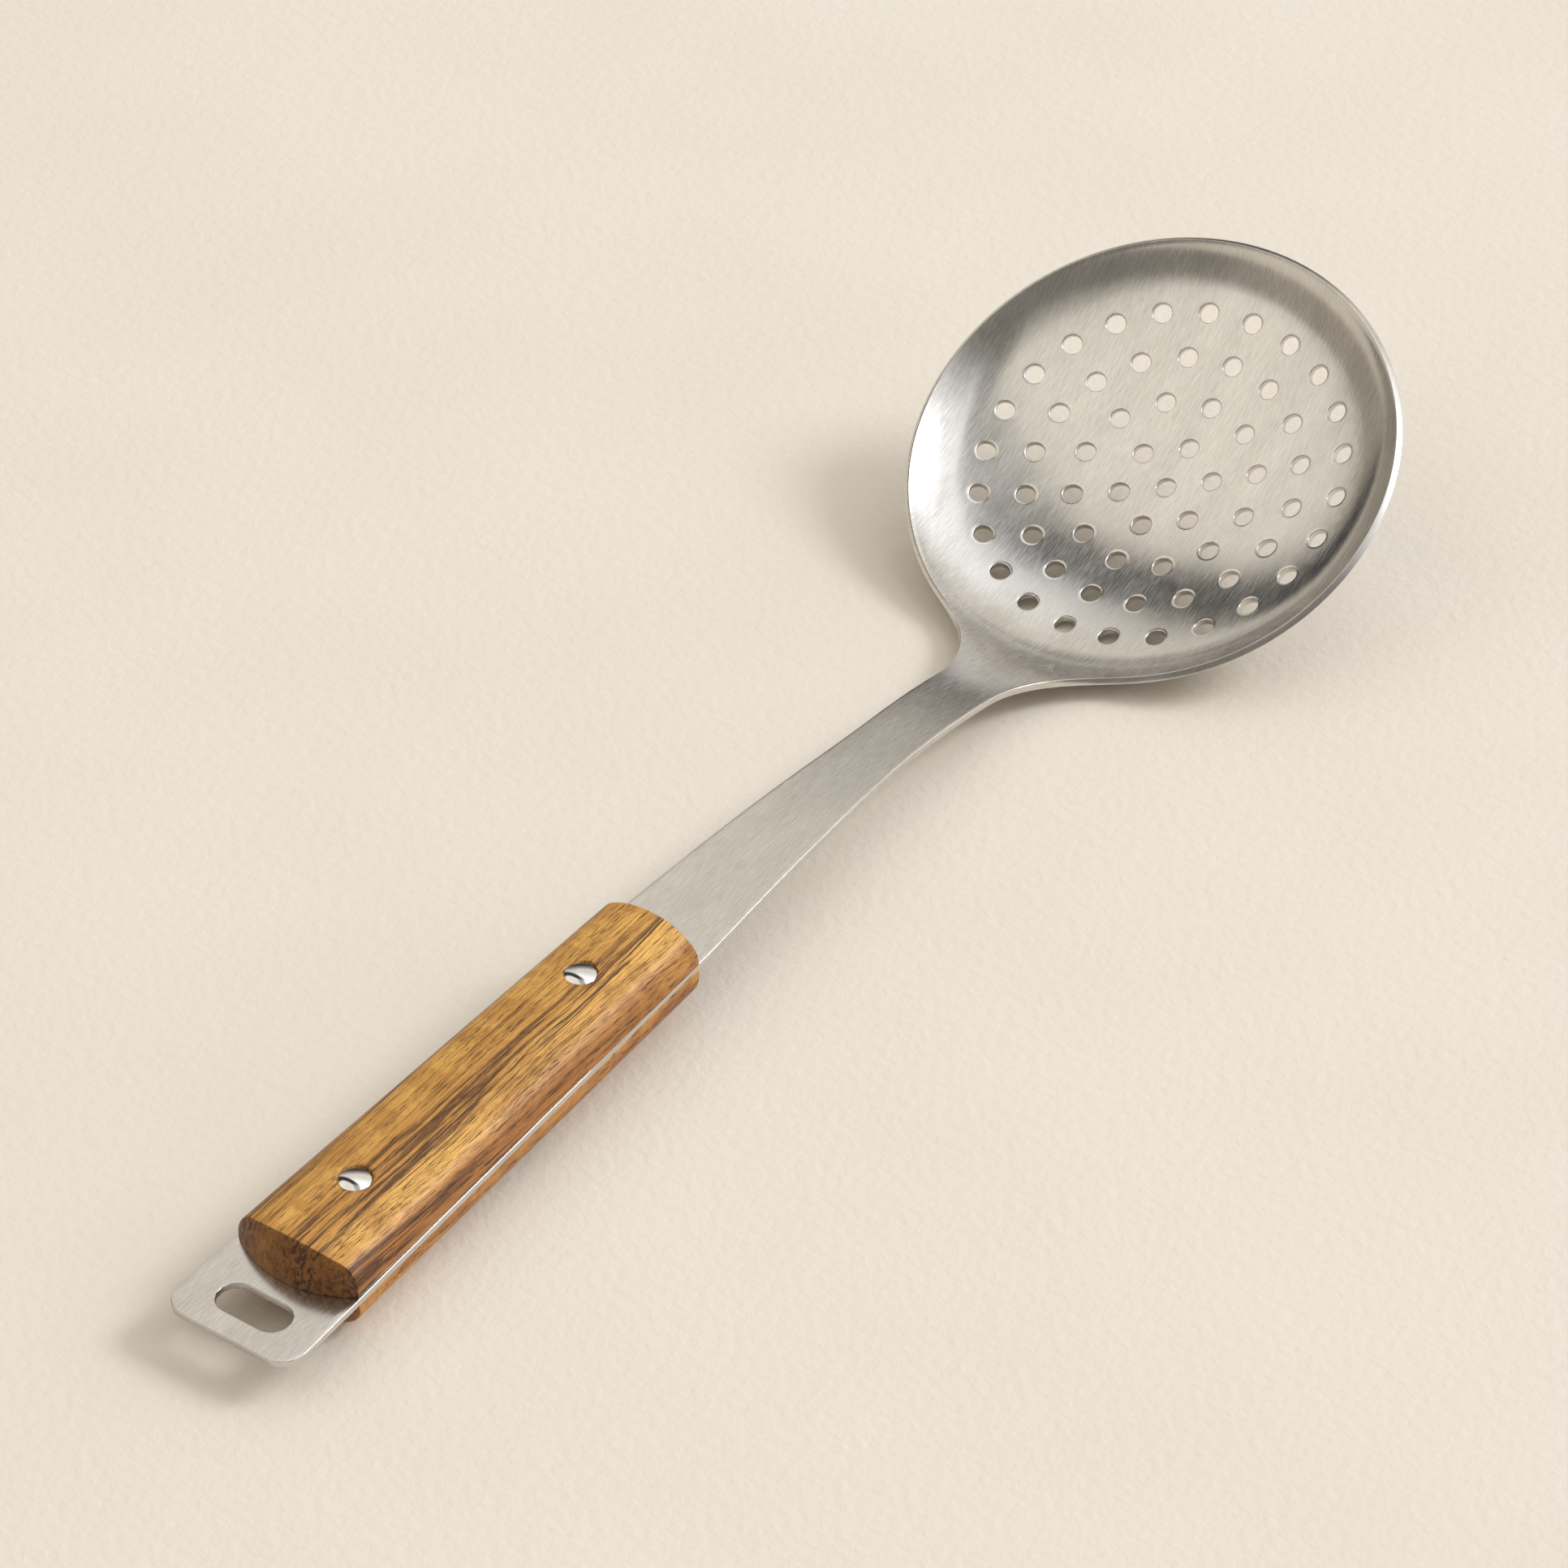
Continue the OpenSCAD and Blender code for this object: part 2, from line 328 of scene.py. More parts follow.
@dataclass
class Section:
    """The blade's upper face cut along its middle, from the dish's axis to the tab.

    Distances from the dish's axis are called reaches.  They and the heights are
    measured in the dish's own frame, whose origin is the middle of the dish's floor.

    Attributes:
        bends: The arcs in order; the sheet goes on straight after the last one.
    """

    bends: tuple[Bend, ...]
    arcs: list[Arc] = field(init=False)

    def __post_init__(self) -> None:
        """Joins the bends end to end."""
        self.arcs = []
        start, slope, length = Vector((0.0, 0.0)), 0.0, 0.0
        for bend in self.bends:
            arc = Arc(bend, start, slope, length)
            self.arcs.append(arc)
            start, slope, length = arc.end, arc.end_slope, arc.end_length

    def _arc_at(self, reach: float) -> Arc | None:
        """The arc that a reach falls on, or None on the straight part."""
        return next((arc for arc in self.arcs if reach <= arc.end.x), None)

    def height(self, reach: float) -> float:
        """Height of the face at a reach."""
        arc = self._arc_at(reach)
        if arc is None:
            last = self.arcs[-1]
            return last.end.y + (reach - last.end.x) * math.tan(last.end_slope)
        return arc.at_slope(arc.slope_at(reach)).y

    def length(self, reach: float) -> float:
        """Length along the sheet from the dish's axis to a reach."""
        arc = self._arc_at(reach)
        if arc is None:
            last = self.arcs[-1]
            return last.end_length + (reach - last.end.x) / math.cos(last.end_slope)
        return arc.start_length + arc.bend.radius * abs(arc.slope_at(reach) - arc.start_slope)

    def reach(self, length: float) -> float:
        """The reach at a length along the sheet, within the arcs."""
        arc = next(a for a in self.arcs if length <= a.end_length + SAME_PLACE)
        turn = (length - arc.start_length) / arc.bend.radius
        return arc.at_slope(arc.start_slope + arc.sign * turn).x


@dataclass
class Blade:
    """The one-piece blade: perforated dish, flared neck, curved shank, tang and tab.

    The sheet is laid out flat in plan around the dish's axis, punched, pressed to
    shape and then given its thickness and its rounded edges.

    Attributes:
        sizes: The handle's sizes.
        rest: How the skimmer lies.
        floor_radius: Radius of the dish's round floor.
        wall_radius: Radius of the bend between the floor and the rim.
        rim_reach: Distance from the dish's axis to the rim.
        rim_slope: Slope of the wall at the rim, in degrees.
        rim_edge: How far the sheet goes on past the rim, which the rounding takes back.
        dish_tilt: Angle between the dish and the tang, in degrees.
        shank_radii: Radii of the shank's three bends, from the rim on.
        shank_slopes: Slopes where the first two of them end, in degrees from the tang.
        bend_start: Where the tang ends and the shank starts to bend.
        neck_drop: How far the dish lies below the line of the shank.
        neck_blend: Length over which the neck goes from round to straight across.
        hole_radius: Radius of a drain hole.
        hole_pitch: Spacing of the drain holes along the sheet.
        hole_rings: Number of rings of drain holes around the middle one.
        hole_rims: Distances from a hole's edge to the rings of vertices around it.
        spokes: Number of faces around the dish.
        rows_per_pitch: Number of rows of faces in one pitch.
        wall_rows: Number of rows from the outer drain holes to the edge.
        neck_half_width: Half of the neck's least width.
        neck_spokes: Number of faces across half of the neck.
        flare_rows: Number of rows between the rim and the narrowest neck.
        waist_x: Where the shank's taper meets the even width of the neck.
        waist_soften: How far that change is softened to each side.
        tang_front_x: Where the tang's taper meets the shank's.
        tang_front_half_width: Half of the width there.
        tab_half_width: Half of the width at the tab's end.
        tab_corner_radius: Radius of the tab's corners.
        corner_rows: Number of rows in those corners.
        row_step: Length of the rows along the shank.
        slot_x: Place of the hanging slot.
        slot_length: Length of the slot, across the tab.
        slot_width: Width of the slot.
        slot_cell: How far the faces that the slot replaces reach, along and across.
        rivet_cell: The same for the faces that a rivet's hole replaces.
        tang_rims: Distances around the slot and the rivets' holes, as a share of hole_rims.
        lip_rounding: Rounding of the drain holes' edges.
        outline_rounding: Rounding of all the other edges.
        sharp_angle: Least turn between the two faces of an edge that is rounded.
        plan_rounds: Number of rounds that work out a point of the plan.
    """

    sizes: HandleSizes
    rest: Rest
    floor_radius: float = 130.0
    wall_radius: float = 21.0
    rim_reach: float = 52.2
    rim_slope: float = 50.0
    rim_edge: float = 0.65
    dish_tilt: float = 26.0
    shank_radii: tuple[float, float, float] = (97.0, 195.0, 530.0)
    shank_slopes: tuple[float, float] = (16.0, 7.0)
    bend_start: float = 150.0
    neck_drop: float = 0.18
    neck_blend: float = 22.0
    hole_radius: float = 2.1
    hole_pitch: float = 10.0
    hole_rings: int = 4
    hole_rims: tuple[float, float, float] = (1.7, 0.75, 0.0)
    spokes: int = 144
    rows_per_pitch: int = 6
    wall_rows: int = 9
    neck_half_width: float = 6.95
    neck_spokes: int = 11
    flare_rows: int = 14
    waist_x: float = 204.6
    waist_soften: float = 9.0
    tang_front_x: float = 134.7
    tang_front_half_width: float = 11.1
    tab_half_width: float = 15.4
    tab_corner_radius: float = 5.0
    corner_rows: int = 7
    row_step: float = 2.4
    slot_x: float = 8.8
    slot_length: float = 16.6
    slot_width: float = 7.7
    slot_cell: tuple[float, float] = (6.6, 10.9)
    rivet_cell: tuple[float, float] = (5.5, 5.0)
    tang_rims: float = 0.8
    lip_rounding: float = 0.25
    outline_rounding: float = 0.6
    sharp_angle: float = 50.0
    plan_rounds: int = 24

    def __post_init__(self) -> None:
        """Works out the middle section and the place of the dish."""
        wall_turn = self.wall_radius * math.sin(math.radians(self.rim_slope))
        floor_slope = math.asin((self.rim_reach - wall_turn) / (self.floor_radius - self.wall_radius))
        bends = [
            Bend(self.floor_radius, math.degrees(floor_slope), True),
            Bend(self.wall_radius, self.rim_slope, True),
        ]
        ends = [self.dish_tilt + slope for slope in (*self.shank_slopes, 0.0)]
        bends += [Bend(radius, slope, False) for radius, slope in zip(self.shank_radii, ends)]
        self.section = Section(tuple(bends))
        self.tilt = math.radians(self.dish_tilt)
        self.edge_length = self.section.arcs[1].end_length + self.rim_edge
        self.edge_reach = self.section.reach(self.edge_length)
        flat = self.section.arcs[-1].end
        self.dish_x = self.bend_start + flat.x * math.cos(self.tilt) + flat.y * math.sin(self.tilt)
        self.dish_z = flat.x * math.sin(self.tilt) - flat.y * math.cos(self.tilt)

    # --- The pressed shape ---

    def _roundness(self, ahead: float) -> float:
        """1 where the sheet curves round the dish's axis, 0 where it is straight across."""
        return 1.0 - smoothstep(self.rim_reach, self.rim_reach + self.neck_blend, ahead)

    def _height(self, ahead: float, across: float) -> float:
        """Height of the upper face in the dish's frame.

        Args:
            ahead: Distance from the dish's axis toward the handle.
            across: Distance from the middle plane.

        Returns:
            The height above the middle of the dish's floor.
        """
        reach = math.hypot(ahead, across)
        return self.section.height(ahead + self._roundness(ahead) * (reach - ahead))

    def _pressed(self, plan: Vector) -> Vector:
        """Where a point of the flat plan lies in the tang's frame once it is pressed."""
        ahead, across = -plan.x, plan.y
        height = self._height(ahead, across)
        x = self.dish_x - ahead * math.cos(self.tilt) - height * math.sin(self.tilt)
        z = self.dish_z - ahead * math.sin(self.tilt) + height * math.cos(self.tilt)
        return Vector((x, across, z - self.neck_drop * self._roundness(ahead)))

    def _plan(self, x: float, across: float) -> Vector:
        """The point of the flat plan that comes to lie at x along the tang."""
        ahead = (self.dish_x - x) / math.cos(self.tilt)
        for _ in range(self.plan_rounds):
            lift = self._height(ahead, across) * math.sin(self.tilt)
            ahead = (self.dish_x - x - lift) / math.cos(self.tilt)
        return Vector((-ahead, across, 0.0))

    def _grain(self, point: Vector) -> tuple[float, float]:
        """Coordinates along and across the brushing, in metres, for a point of the frame."""
        local = self.rest.matrix().inverted() @ point
        dx, dz = local.x - self.dish_x, local.z - self.dish_z
        ahead = -(dx * math.cos(self.tilt) + dz * math.sin(self.tilt))
        height = dz * math.cos(self.tilt) - dx * math.sin(self.tilt)
        depth = height - self._height(ahead, local.y)
        reach = math.hypot(ahead, local.y)
        roundness = self._roundness(ahead)
        # The middle of the dish is a hole, so no point has a reach of 0.
        spread = self.section.length(reach) / reach
        along = (1 - roundness) * self.section.length(abs(ahead)) + roundness * ahead * spread
        across = local.y * ((1 - roundness) + roundness * spread)
        return -along * MM, (across + depth) * MM

    # --- The flat plan ---

    def _spin_dish(self, bm: BMesh) -> None:
        """Spins the dish's plan: an even grid on the floor and closer rows up the wall."""
        step = self.hole_pitch / self.rows_per_pitch
        count = self.hole_rings * self.rows_per_pitch
        lengths = [self.hole_pitch / 2 + i * step for i in range(count + 1)]
        rise = (self.edge_length - lengths[-1]) / self.wall_rows
        lengths += [lengths[-1] + (i + 1) * rise for i in range(self.wall_rows)]
        line = [bm.verts.new((-self.section.reach(length), 0.0, 0.0)) for length in lengths]
        edges = [bm.edges.new(pair) for pair in zip(line, line[1:])]
        bmesh.ops.spin(
            bm,
            geom=line + edges,
            cent=(0, 0, 0),
            axis=(0, 0, 1),
            angle=math.tau,
            steps=self.spokes,
            use_merge=True,
        )
        inner = self.section.reach((lengths[0] + lengths[1]) / 2)
        ring = [e for e in bm.edges if e.is_boundary and e.verts[0].co.length < inner]
        bmesh.ops.holes_fill(bm, edges=ring, sides=0)

    def _on_floor(self, plan: Vector) -> Vector:
        """The point of the floor's sphere above a point of the plan, from the sphere's centre."""
        drop = math.sqrt(max(self.floor_radius**2 - plan.x**2 - plan.y**2, 0.0))
        return Vector((plan.x, plan.y, -drop))

    def _punch_floor(self, bm: BMesh) -> None:
        """Punches the drain holes: one in the middle and rings of six more each."""
        tilt_step = self.hole_pitch / self.floor_radius
        for ring in range(self.hole_rings + 1):
            holes = max(1, 6 * ring)
            for index in range(holes):
                middle = math.tau * index / holes
                turn = Matrix.Rotation(middle, 3, "Z") @ Matrix.Rotation(-ring * tilt_step, 3, "Y")
                face = self._cell(bm, ring, middle, math.pi / holes)
                self._open(bm, face, lambda v, grow: self._drilled(v, grow, turn))

    def _cell(self, bm: BMesh, ring: int, middle: float, half_angle: float) -> BMFace:
        """Joins the grid's faces around one hole into a single face.

        Args:
            bm: The plan.
            ring: The hole's ring.
            middle: Direction of the hole from the dish's axis.
            half_angle: Half of the angle that belongs to the hole.

        Returns:
            The joined face.
        """
        near = self.section.reach(abs(ring - 0.5) * self.hole_pitch)
        far = self.section.reach((ring + 0.5) * self.hole_pitch)
        cell = []
        for face in bm.faces:
            centre = face.calc_center_median()
            if ring == 0 and centre.length < near / 2:
                return face
            if near < centre.length < far:
                turn = math.remainder(math.atan2(centre.y, centre.x) - middle, math.tau)
                if abs(turn) < half_angle:
                    cell.append(face)
        return bmesh.ops.dissolve_faces(bm, faces=cell, use_verts=False)["region"][0]

    def _drilled(self, vert: BMVert, grow: float, turn: Matrix) -> Vector:
        """Where a vertex goes on the edge of a hole drilled square to the floor.

        Args:
            vert: The vertex.
            grow: How much larger than the hole the circle is.
            turn: Turns the middle of the floor to the hole's place.

        Returns:
            The place in the flat plan.
        """
        local = turn.inverted() @ self._on_floor(vert.co)
        direction = math.atan2(local.y, local.x)
        opening = math.asin((self.hole_radius + grow) / self.floor_radius)
        flat = self.floor_radius * math.sin(opening)
        depth = -self.floor_radius * math.cos(opening)
        point = turn @ Vector((flat * math.cos(direction), flat * math.sin(direction), depth))
        return Vector((point.x, point.y, 0.0))

    def _open(self, bm: BMesh, face: BMFace, place: Callable[[BMVert, float], Vector]) -> None:
        """Opens a hole in a face, with two rings of faces around it.

        Args:
            bm: The plan.
            face: The face to open.
            place: Puts a vertex on the hole's edge, grown by a distance.
        """
        for grow in self.hole_rims:
            bmesh.ops.inset_individual(bm, faces=[face], thickness=FIRST_INSET)
            for vert in face.verts:
                vert.co = place(vert, grow)
        bmesh.ops.delete(bm, geom=[face], context="FACES_ONLY")

    def _half_width(self, x: float) -> float:
        """Half of the width of the tab, tang or shank, softened where its taper changes."""
        if x < self.tang_front_x:
            share = x / self.tang_front_x
            return self.tab_half_width + share * (self.tang_front_half_width - self.tab_half_width)
        run = self.waist_x - self.tang_front_x
        rate = (self.tang_front_half_width - self.neck_half_width) / run
        left = self.waist_x - x
        soft = self.waist_soften
        if left > soft:
            return self.neck_half_width + rate * left
        if left < -soft:
            return self.neck_half_width
        return self.neck_half_width + rate * (left + soft) ** 2 / (4 * soft)

    def _shank_rows(self) -> list[tuple[float, float]]:
        """Places along the shank, from the neck to the tab's end, with half widths."""
        corner = self.tab_corner_radius
        start = self._neck_start()
        count = round((start - corner) / self.row_step)
        rows = [start + (corner - start) * i / count for i in range(1, count + 1)]
        rows = [(x, self._half_width(x)) for x in rows]
        for i in range(1, self.corner_rows + 1):
            turn = math.pi / 2 * i / self.corner_rows
            x = corner * (1 - math.sin(turn))
            rows.append((x, self._half_width(x) - corner * (1 - math.cos(turn))))
        return rows

    def _rim_corner(self) -> Vector:
        """Where the neck's edge leaves the rim, in the tang's frame."""
        angle = math.tau * self.neck_spokes / self.spokes
        ahead, across = self.edge_reach * math.cos(angle), self.edge_reach * math.sin(angle)
        return self._pressed(Vector((-ahead, across, 0.0)))

    def _rim_turn(self) -> float:
        """Direction of the rim, seen along the tang's Z, where the neck leaves it."""
        angle = math.tau * self.neck_spokes / self.spokes
        return math.atan2(math.cos(angle), math.sin(angle) * math.cos(self.tilt))

    def _fillet_radius(self) -> float:
        """Radius in plan of the fillet that leaves the rim without a corner."""
        gap = self._rim_corner().y - self.neck_half_width
        return gap / (1 - math.cos(self._rim_turn()))

    def _neck_start(self) -> float:
        """Where the fillets end and the neck is narrowest."""
        return self._rim_corner().x - self._fillet_radius() * math.sin(self._rim_turn())

    def _extend(self, bm: BMesh, row: list[BMVert], places: list[Vector]) -> list[BMVert]:
        """Adds one row of faces to the plan.

        Args:
            bm: The plan.
            row: The vertices of the last row, in order.
            places: Where the new row's vertices go, in the same order.

        Returns:
            The new row's vertices.
        """
        edges = [bm.edges.get(pair) for pair in zip(row, row[1:])]
        made = bmesh.ops.extrude_edge_only(bm, edges=edges)["geom"]
        fresh = {item for item in made if isinstance(item, BMVert)}
        beside = [[edge.other_vert(vert) for edge in vert.link_edges] for vert in row]
        new_row = [next(vert for vert in verts if vert in fresh) for verts in beside]
        for vert, place in zip(new_row, places):
            vert.co = place
        return new_row

    def _draw_shank(self, bm: BMesh) -> None:
        """Draws the neck, the shank, the tang and the tab on from the rim."""
        angle = math.tau * (self.neck_spokes + 0.5) / self.spokes
        outer = (self.rim_reach + self.edge_reach) / 2
        row = [v for v in bm.verts if v.is_boundary and v.co.length > outer]
        row = [v for v in row if abs(math.atan2(v.co.y, -v.co.x)) < angle]
        row.sort(key=lambda v: v.co.y)
        rim_shares = [v.co.y / row[-1].co.y for v in row]
        even = [i / self.neck_spokes for i in range(-self.neck_spokes, self.neck_spokes + 1)]
        start, turn_end = self._neck_start(), self._rim_turn()
        radius = self._fillet_radius()
        rim_middle = self._pressed(Vector((-self.edge_reach, 0.0, 0.0))).x
        for i in range(1, self.flare_rows + 1):
            left = 1 - i / self.flare_rows
            turn = turn_end * left
            edge_x = start + radius * math.sin(turn)
            half = self.neck_half_width + radius * (1 - math.cos(turn))
            middle_x = start + (rim_middle - start) * math.sin(turn) / math.sin(turn_end)
            places = []
            for rim_share, even_share in zip(rim_shares, even):
                share = even_share + (rim_share - even_share) * left
                x = middle_x + (edge_x - middle_x) * share * share
                places.append(self._plan(x, half * share))
            row = self._extend(bm, row, places)
        for x, half in self._shank_rows():
            row = self._extend(bm, row, [self._plan(x, half * share) for share in even])

    def _punch_tang(self, bm: BMesh) -> None:
        """Punches the hanging slot and the two rivet holes."""
        slot_straight = (self.slot_length - self.slot_width) / 2
        openings = [(self.slot_x, slot_straight, self.slot_width / 2, self.slot_cell)]
        openings += [(x, 0.0, self.sizes.sleeve_radius, self.rivet_cell) for x in self.sizes.rivet_places]
        for x, straight, radius, (reach_x, reach_y) in openings:
            cell = []
            for face in bm.faces:
                if face.calc_center_median().x > -self.rim_reach - self.neck_blend:
                    continue
                place = self._pressed(face.calc_center_median())
                if abs(place.x - x) < reach_x and abs(place.y) < reach_y:
                    cell.append(face)
            face = bmesh.ops.dissolve_faces(bm, faces=cell, use_verts=False)["region"][0]
            rims = self.tang_rims
            self._open(bm, face, lambda v, grow: self._slotted(v, grow * rims, x, straight, radius))

    def _slotted(self, vert: BMVert, grow: float, x: float, straight: float, radius: float) -> Vector:
        """Where a vertex goes on the edge of a slot with round ends.

        Args:
            vert: The vertex.
            grow: How much larger than the slot the outline is.
            x: Place of the slot along the tang.
            straight: Half of the length of the slot's straight middle.
            radius: Radius of the slot's ends.

        Returns:
            The place in the flat plan.
        """
        place = self._pressed(vert.co)
        away = Vector((place.x - x, place.y)).normalized()
        size = radius + grow
        if abs(away.x) * straight > abs(away.y) * size:
            reach = size / abs(away.x)
        else:
            along = abs(away.y) * straight
            reach = along + math.sqrt(size * size - straight * straight + along * along)
        return self._plan(x + away.x * reach, away.y * reach)

    # --- The solid sheet ---

    def _press(self, bm: BMesh) -> None:
        """Presses the flat plan to shape, with its faces upward."""
        for vert in bm.verts:
            vert.co = self._pressed(vert.co)
        bmesh.ops.recalc_face_normals(bm, faces=bm.faces[:])
        if sum(face.normal.z for face in bm.faces) < 0:
            bmesh.ops.reverse_faces(bm, faces=bm.faces[:])

    def _thicken(self, bm: BMesh) -> None:
        """Gives the sheet its thickness, downward from the upper face."""
        bmesh.ops.solidify(bm, geom=bm.faces[:], thickness=self.sizes.sheet)

    def _round_edges(self, bm: BMesh) -> None:
        """Rounds the drain holes' edges a little and all the other edges more."""
        up = Vector((-math.sin(self.tilt), 0.0, math.cos(self.tilt)))
        middle = Vector((self.dish_x, 0.0, self.dish_z))
        holes_end = (self.hole_rings + 0.5) * self.hole_pitch
        lips, others = [], []
        for edge in sharp_edges(bm, self.sharp_angle):
            away = edge.verts[0].co - middle
            is_lip = (away - away.dot(up) * up).length <= holes_end
            (lips if is_lip else others).append(edge)
        bevel(bm, lips, self.lip_rounding)
        bevel(bm, [e for e in others if e.is_valid], self.outline_rounding)

    def build(self) -> bpy.types.Object:
        """Builds the blade.

        Returns:
            The blade, which replaces the CAD node of the same part.
        """
        bm = bmesh.new()
        self._spin_dish(bm)
        self._punch_floor(bm)
        self._draw_shank(bm)
        self._punch_tang(bm)
        self._press(bm)
        self._thicken(bm)
        self._round_edges(bm)
        piece = to_object(bm, "pressed_blade", self.rest)
        add_uv(piece, self._grain)
        mark_facing(piece)
        return piece


# --------------------------------------------------------------------------
# The handle's scales
# --------------------------------------------------------------------------


@dataclass
class Scale:
    """One wooden handle scale, drawn as the upper one with its flat face at Z = 0.

    Attributes:
        sizes: The handle's sizes.
        rest: How the skimmer lies.
        side: Which face of the tang it lies on.
        rear_half_width: Half of its width at its rear end.
        front_half_width: Half of its width at its front end.
        rear_crown: Radius across its upper face at its rear end.
        front_crown: The same at its front end.
        shoulder: Radius of the rounded edge between the crown and the side.
        side_share: Share of the section, from the foot up, that the block's side takes.
        cuts: Number of cuts along, across and up the block.
        rounding: Rounding of its sharp edges.
        sharp_angle: Least turn between the two faces of an edge that is rounded.
        place_rounds: Number of rounds that fit a point between the rounded ends.
        drill_sides: Number of sides of the drilled holes.
        drill_start: How far below the flat face the rivets' holes are drilled from.
    """

    sizes: HandleSizes
    rest: Rest
    side: Side
    rear_half_width: float = 14.5
    front_half_width: float = 11.4
    rear_crown: float = 31.0
    front_crown: float = 19.0
    shoulder: float = 6.0
    side_share: float = 0.34
    cuts: tuple[int, int, int] = (69, 35, 9)
    rounding: float = 0.4
    sharp_angle: float = 35.0
    place_rounds: int = 3
    drill_sides: int = 48
    drill_start: float = 1.0

    def _share(self, x: float) -> float:
        """Share of the way from the rear end to the front end."""
        return (x - self.sizes.scale_start) / (self.sizes.scale_end - self.sizes.scale_start)

    def _outline(self, x: float, share: float) -> Vector:
        """A point of the section from the foot of the side (0) to the ridge (1).

        Args:
            x: Place along the handle.
            share: Share of the way up the side, over the shoulder and the crown.

        Returns:
            Distance from the middle and height.
        """
        t = self._share(x)
        half = self.rear_half_width + t * (self.front_half_width - self.rear_half_width)
        crown = self.rear_crown + t * (self.front_crown - self.rear_crown)
        inset = half - self.shoulder
        crown_z = self.sizes.scale_thickness - crown
        shoulder_z = crown_z + math.sqrt((crown - self.shoulder) ** 2 - inset**2)
        meet = math.asin(inset / (crown - self.shoulder))
        lengths = (shoulder_z, self.shoulder * (math.pi / 2 - meet), crown * meet)
        way = share * sum(lengths)
        if way < lengths[0]:
            return Vector((half, way))
        if way < lengths[0] + lengths[1]:
            turn = (way - lengths[0]) / self.shoulder
            around = self.shoulder * Vector((math.cos(turn), math.sin(turn)))
            return Vector((inset, shoulder_z)) + around
        turn = (sum(lengths) - way) / crown
        return Vector((crown * math.sin(turn), crown_z + crown * math.cos(turn)))

    def _cross(self, x: float, b: float, c: float) -> Vector:
        """A point of the section, from a block's coordinates, each from -1 to 1.

        Args:
            x: Place along the handle.
            b: Across the block.
            c: Up the block.

        Returns:
            Y and Z in the tang's frame.
        """
        u, v = (b + 1) / 2, (c + 1) / 2
        edge = self._outline(x, self.side_share * v)
        corner = self._outline(x, self.side_share)
        top = self._outline(x, 1 - (1 - self.side_share) * abs(b))
        top = Vector((math.copysign(top.x, b), top.y))
        left, right = Vector((-edge.x, edge.y)), edge
        sides = (1 - u) * left + u * right
        return sides + v * (top - Vector((b * corner.x, corner.y)))

    def _ends(self, y: float, z: float) -> tuple[float, float]:
        """Where the rounded ends cut a line that runs along the handle."""
        side = self.sizes.end_side_radius
        around = self.sizes.end_plan_radius - side + math.sqrt(side**2 - min(z, side) ** 2)
        inward = self.sizes.end_plan_radius - math.sqrt(around**2 - y**2)
        return self.sizes.scale_start + inward, self.sizes.scale_end - inward

    def _place(self, block: Vector) -> Vector:
        """Moves a point of a block, with coordinates from -1 to 1, onto the scale."""
        x = self.sizes.scale_start + (block.x + 1) / 2 * (self.sizes.scale_end - self.sizes.scale_start)
        for _ in range(self.place_rounds):
            cross = self._cross(x, block.y, block.z)
            rear, front = self._ends(cross.x, cross.y)
            x = rear + (block.x + 1) / 2 * (front - rear)
        return Vector((x, cross.x, cross.y))

    def _cutter(self, x: float, radius: float, low: float) -> bpy.types.Object:
        """Makes a cutter for a round hole.

        Args:
            x: Place of the hole along the handle.
            radius: Radius of the hole.
            low: Height of the hole's lower end.

        Returns:
            The cutter.
        """
        depth = 2 * self.sizes.scale_thickness
        bm = bmesh.new()
        bmesh.ops.create_cone(
            bm,
            cap_ends=True,
            segments=self.drill_sides,
            radius1=radius,
            radius2=radius,
            depth=depth,
            matrix=Matrix.Translation((x, 0.0, low + depth / 2)),
        )
        return add_object(bm, "cutter")

    def _cut_seats(self, piece: bpy.types.Object) -> None:
        """Drills the rivets' holes and the seats for their heads.

        Args:
            piece: The scale, still in the tang's frame and in millimetres.
        """
        seat_radius = self.sizes.head_radius + self.sizes.seat_clearance
        holes = ((self.sizes.sleeve_radius, -self.drill_start), (seat_radius, self.sizes.head_seat))
        places = [(x, radius, low) for x in self.sizes.rivet_places for radius, low in holes]
        cutters = [self._cutter(*place) for place in places]
        for cutter in cutters:
            cut = piece.modifiers.new("seat", "BOOLEAN")
            cut.operation = "DIFFERENCE"
            cut.solver = "EXACT"
            cut.object = cutter
        graph = bpy.context.evaluated_depsgraph_get()
        drilled = bpy.data.meshes.new_from_object(piece.evaluated_get(graph))
        piece.modifiers.clear()
        piece.data = drilled
        for cutter in cutters:
            bpy.data.objects.remove(cutter)

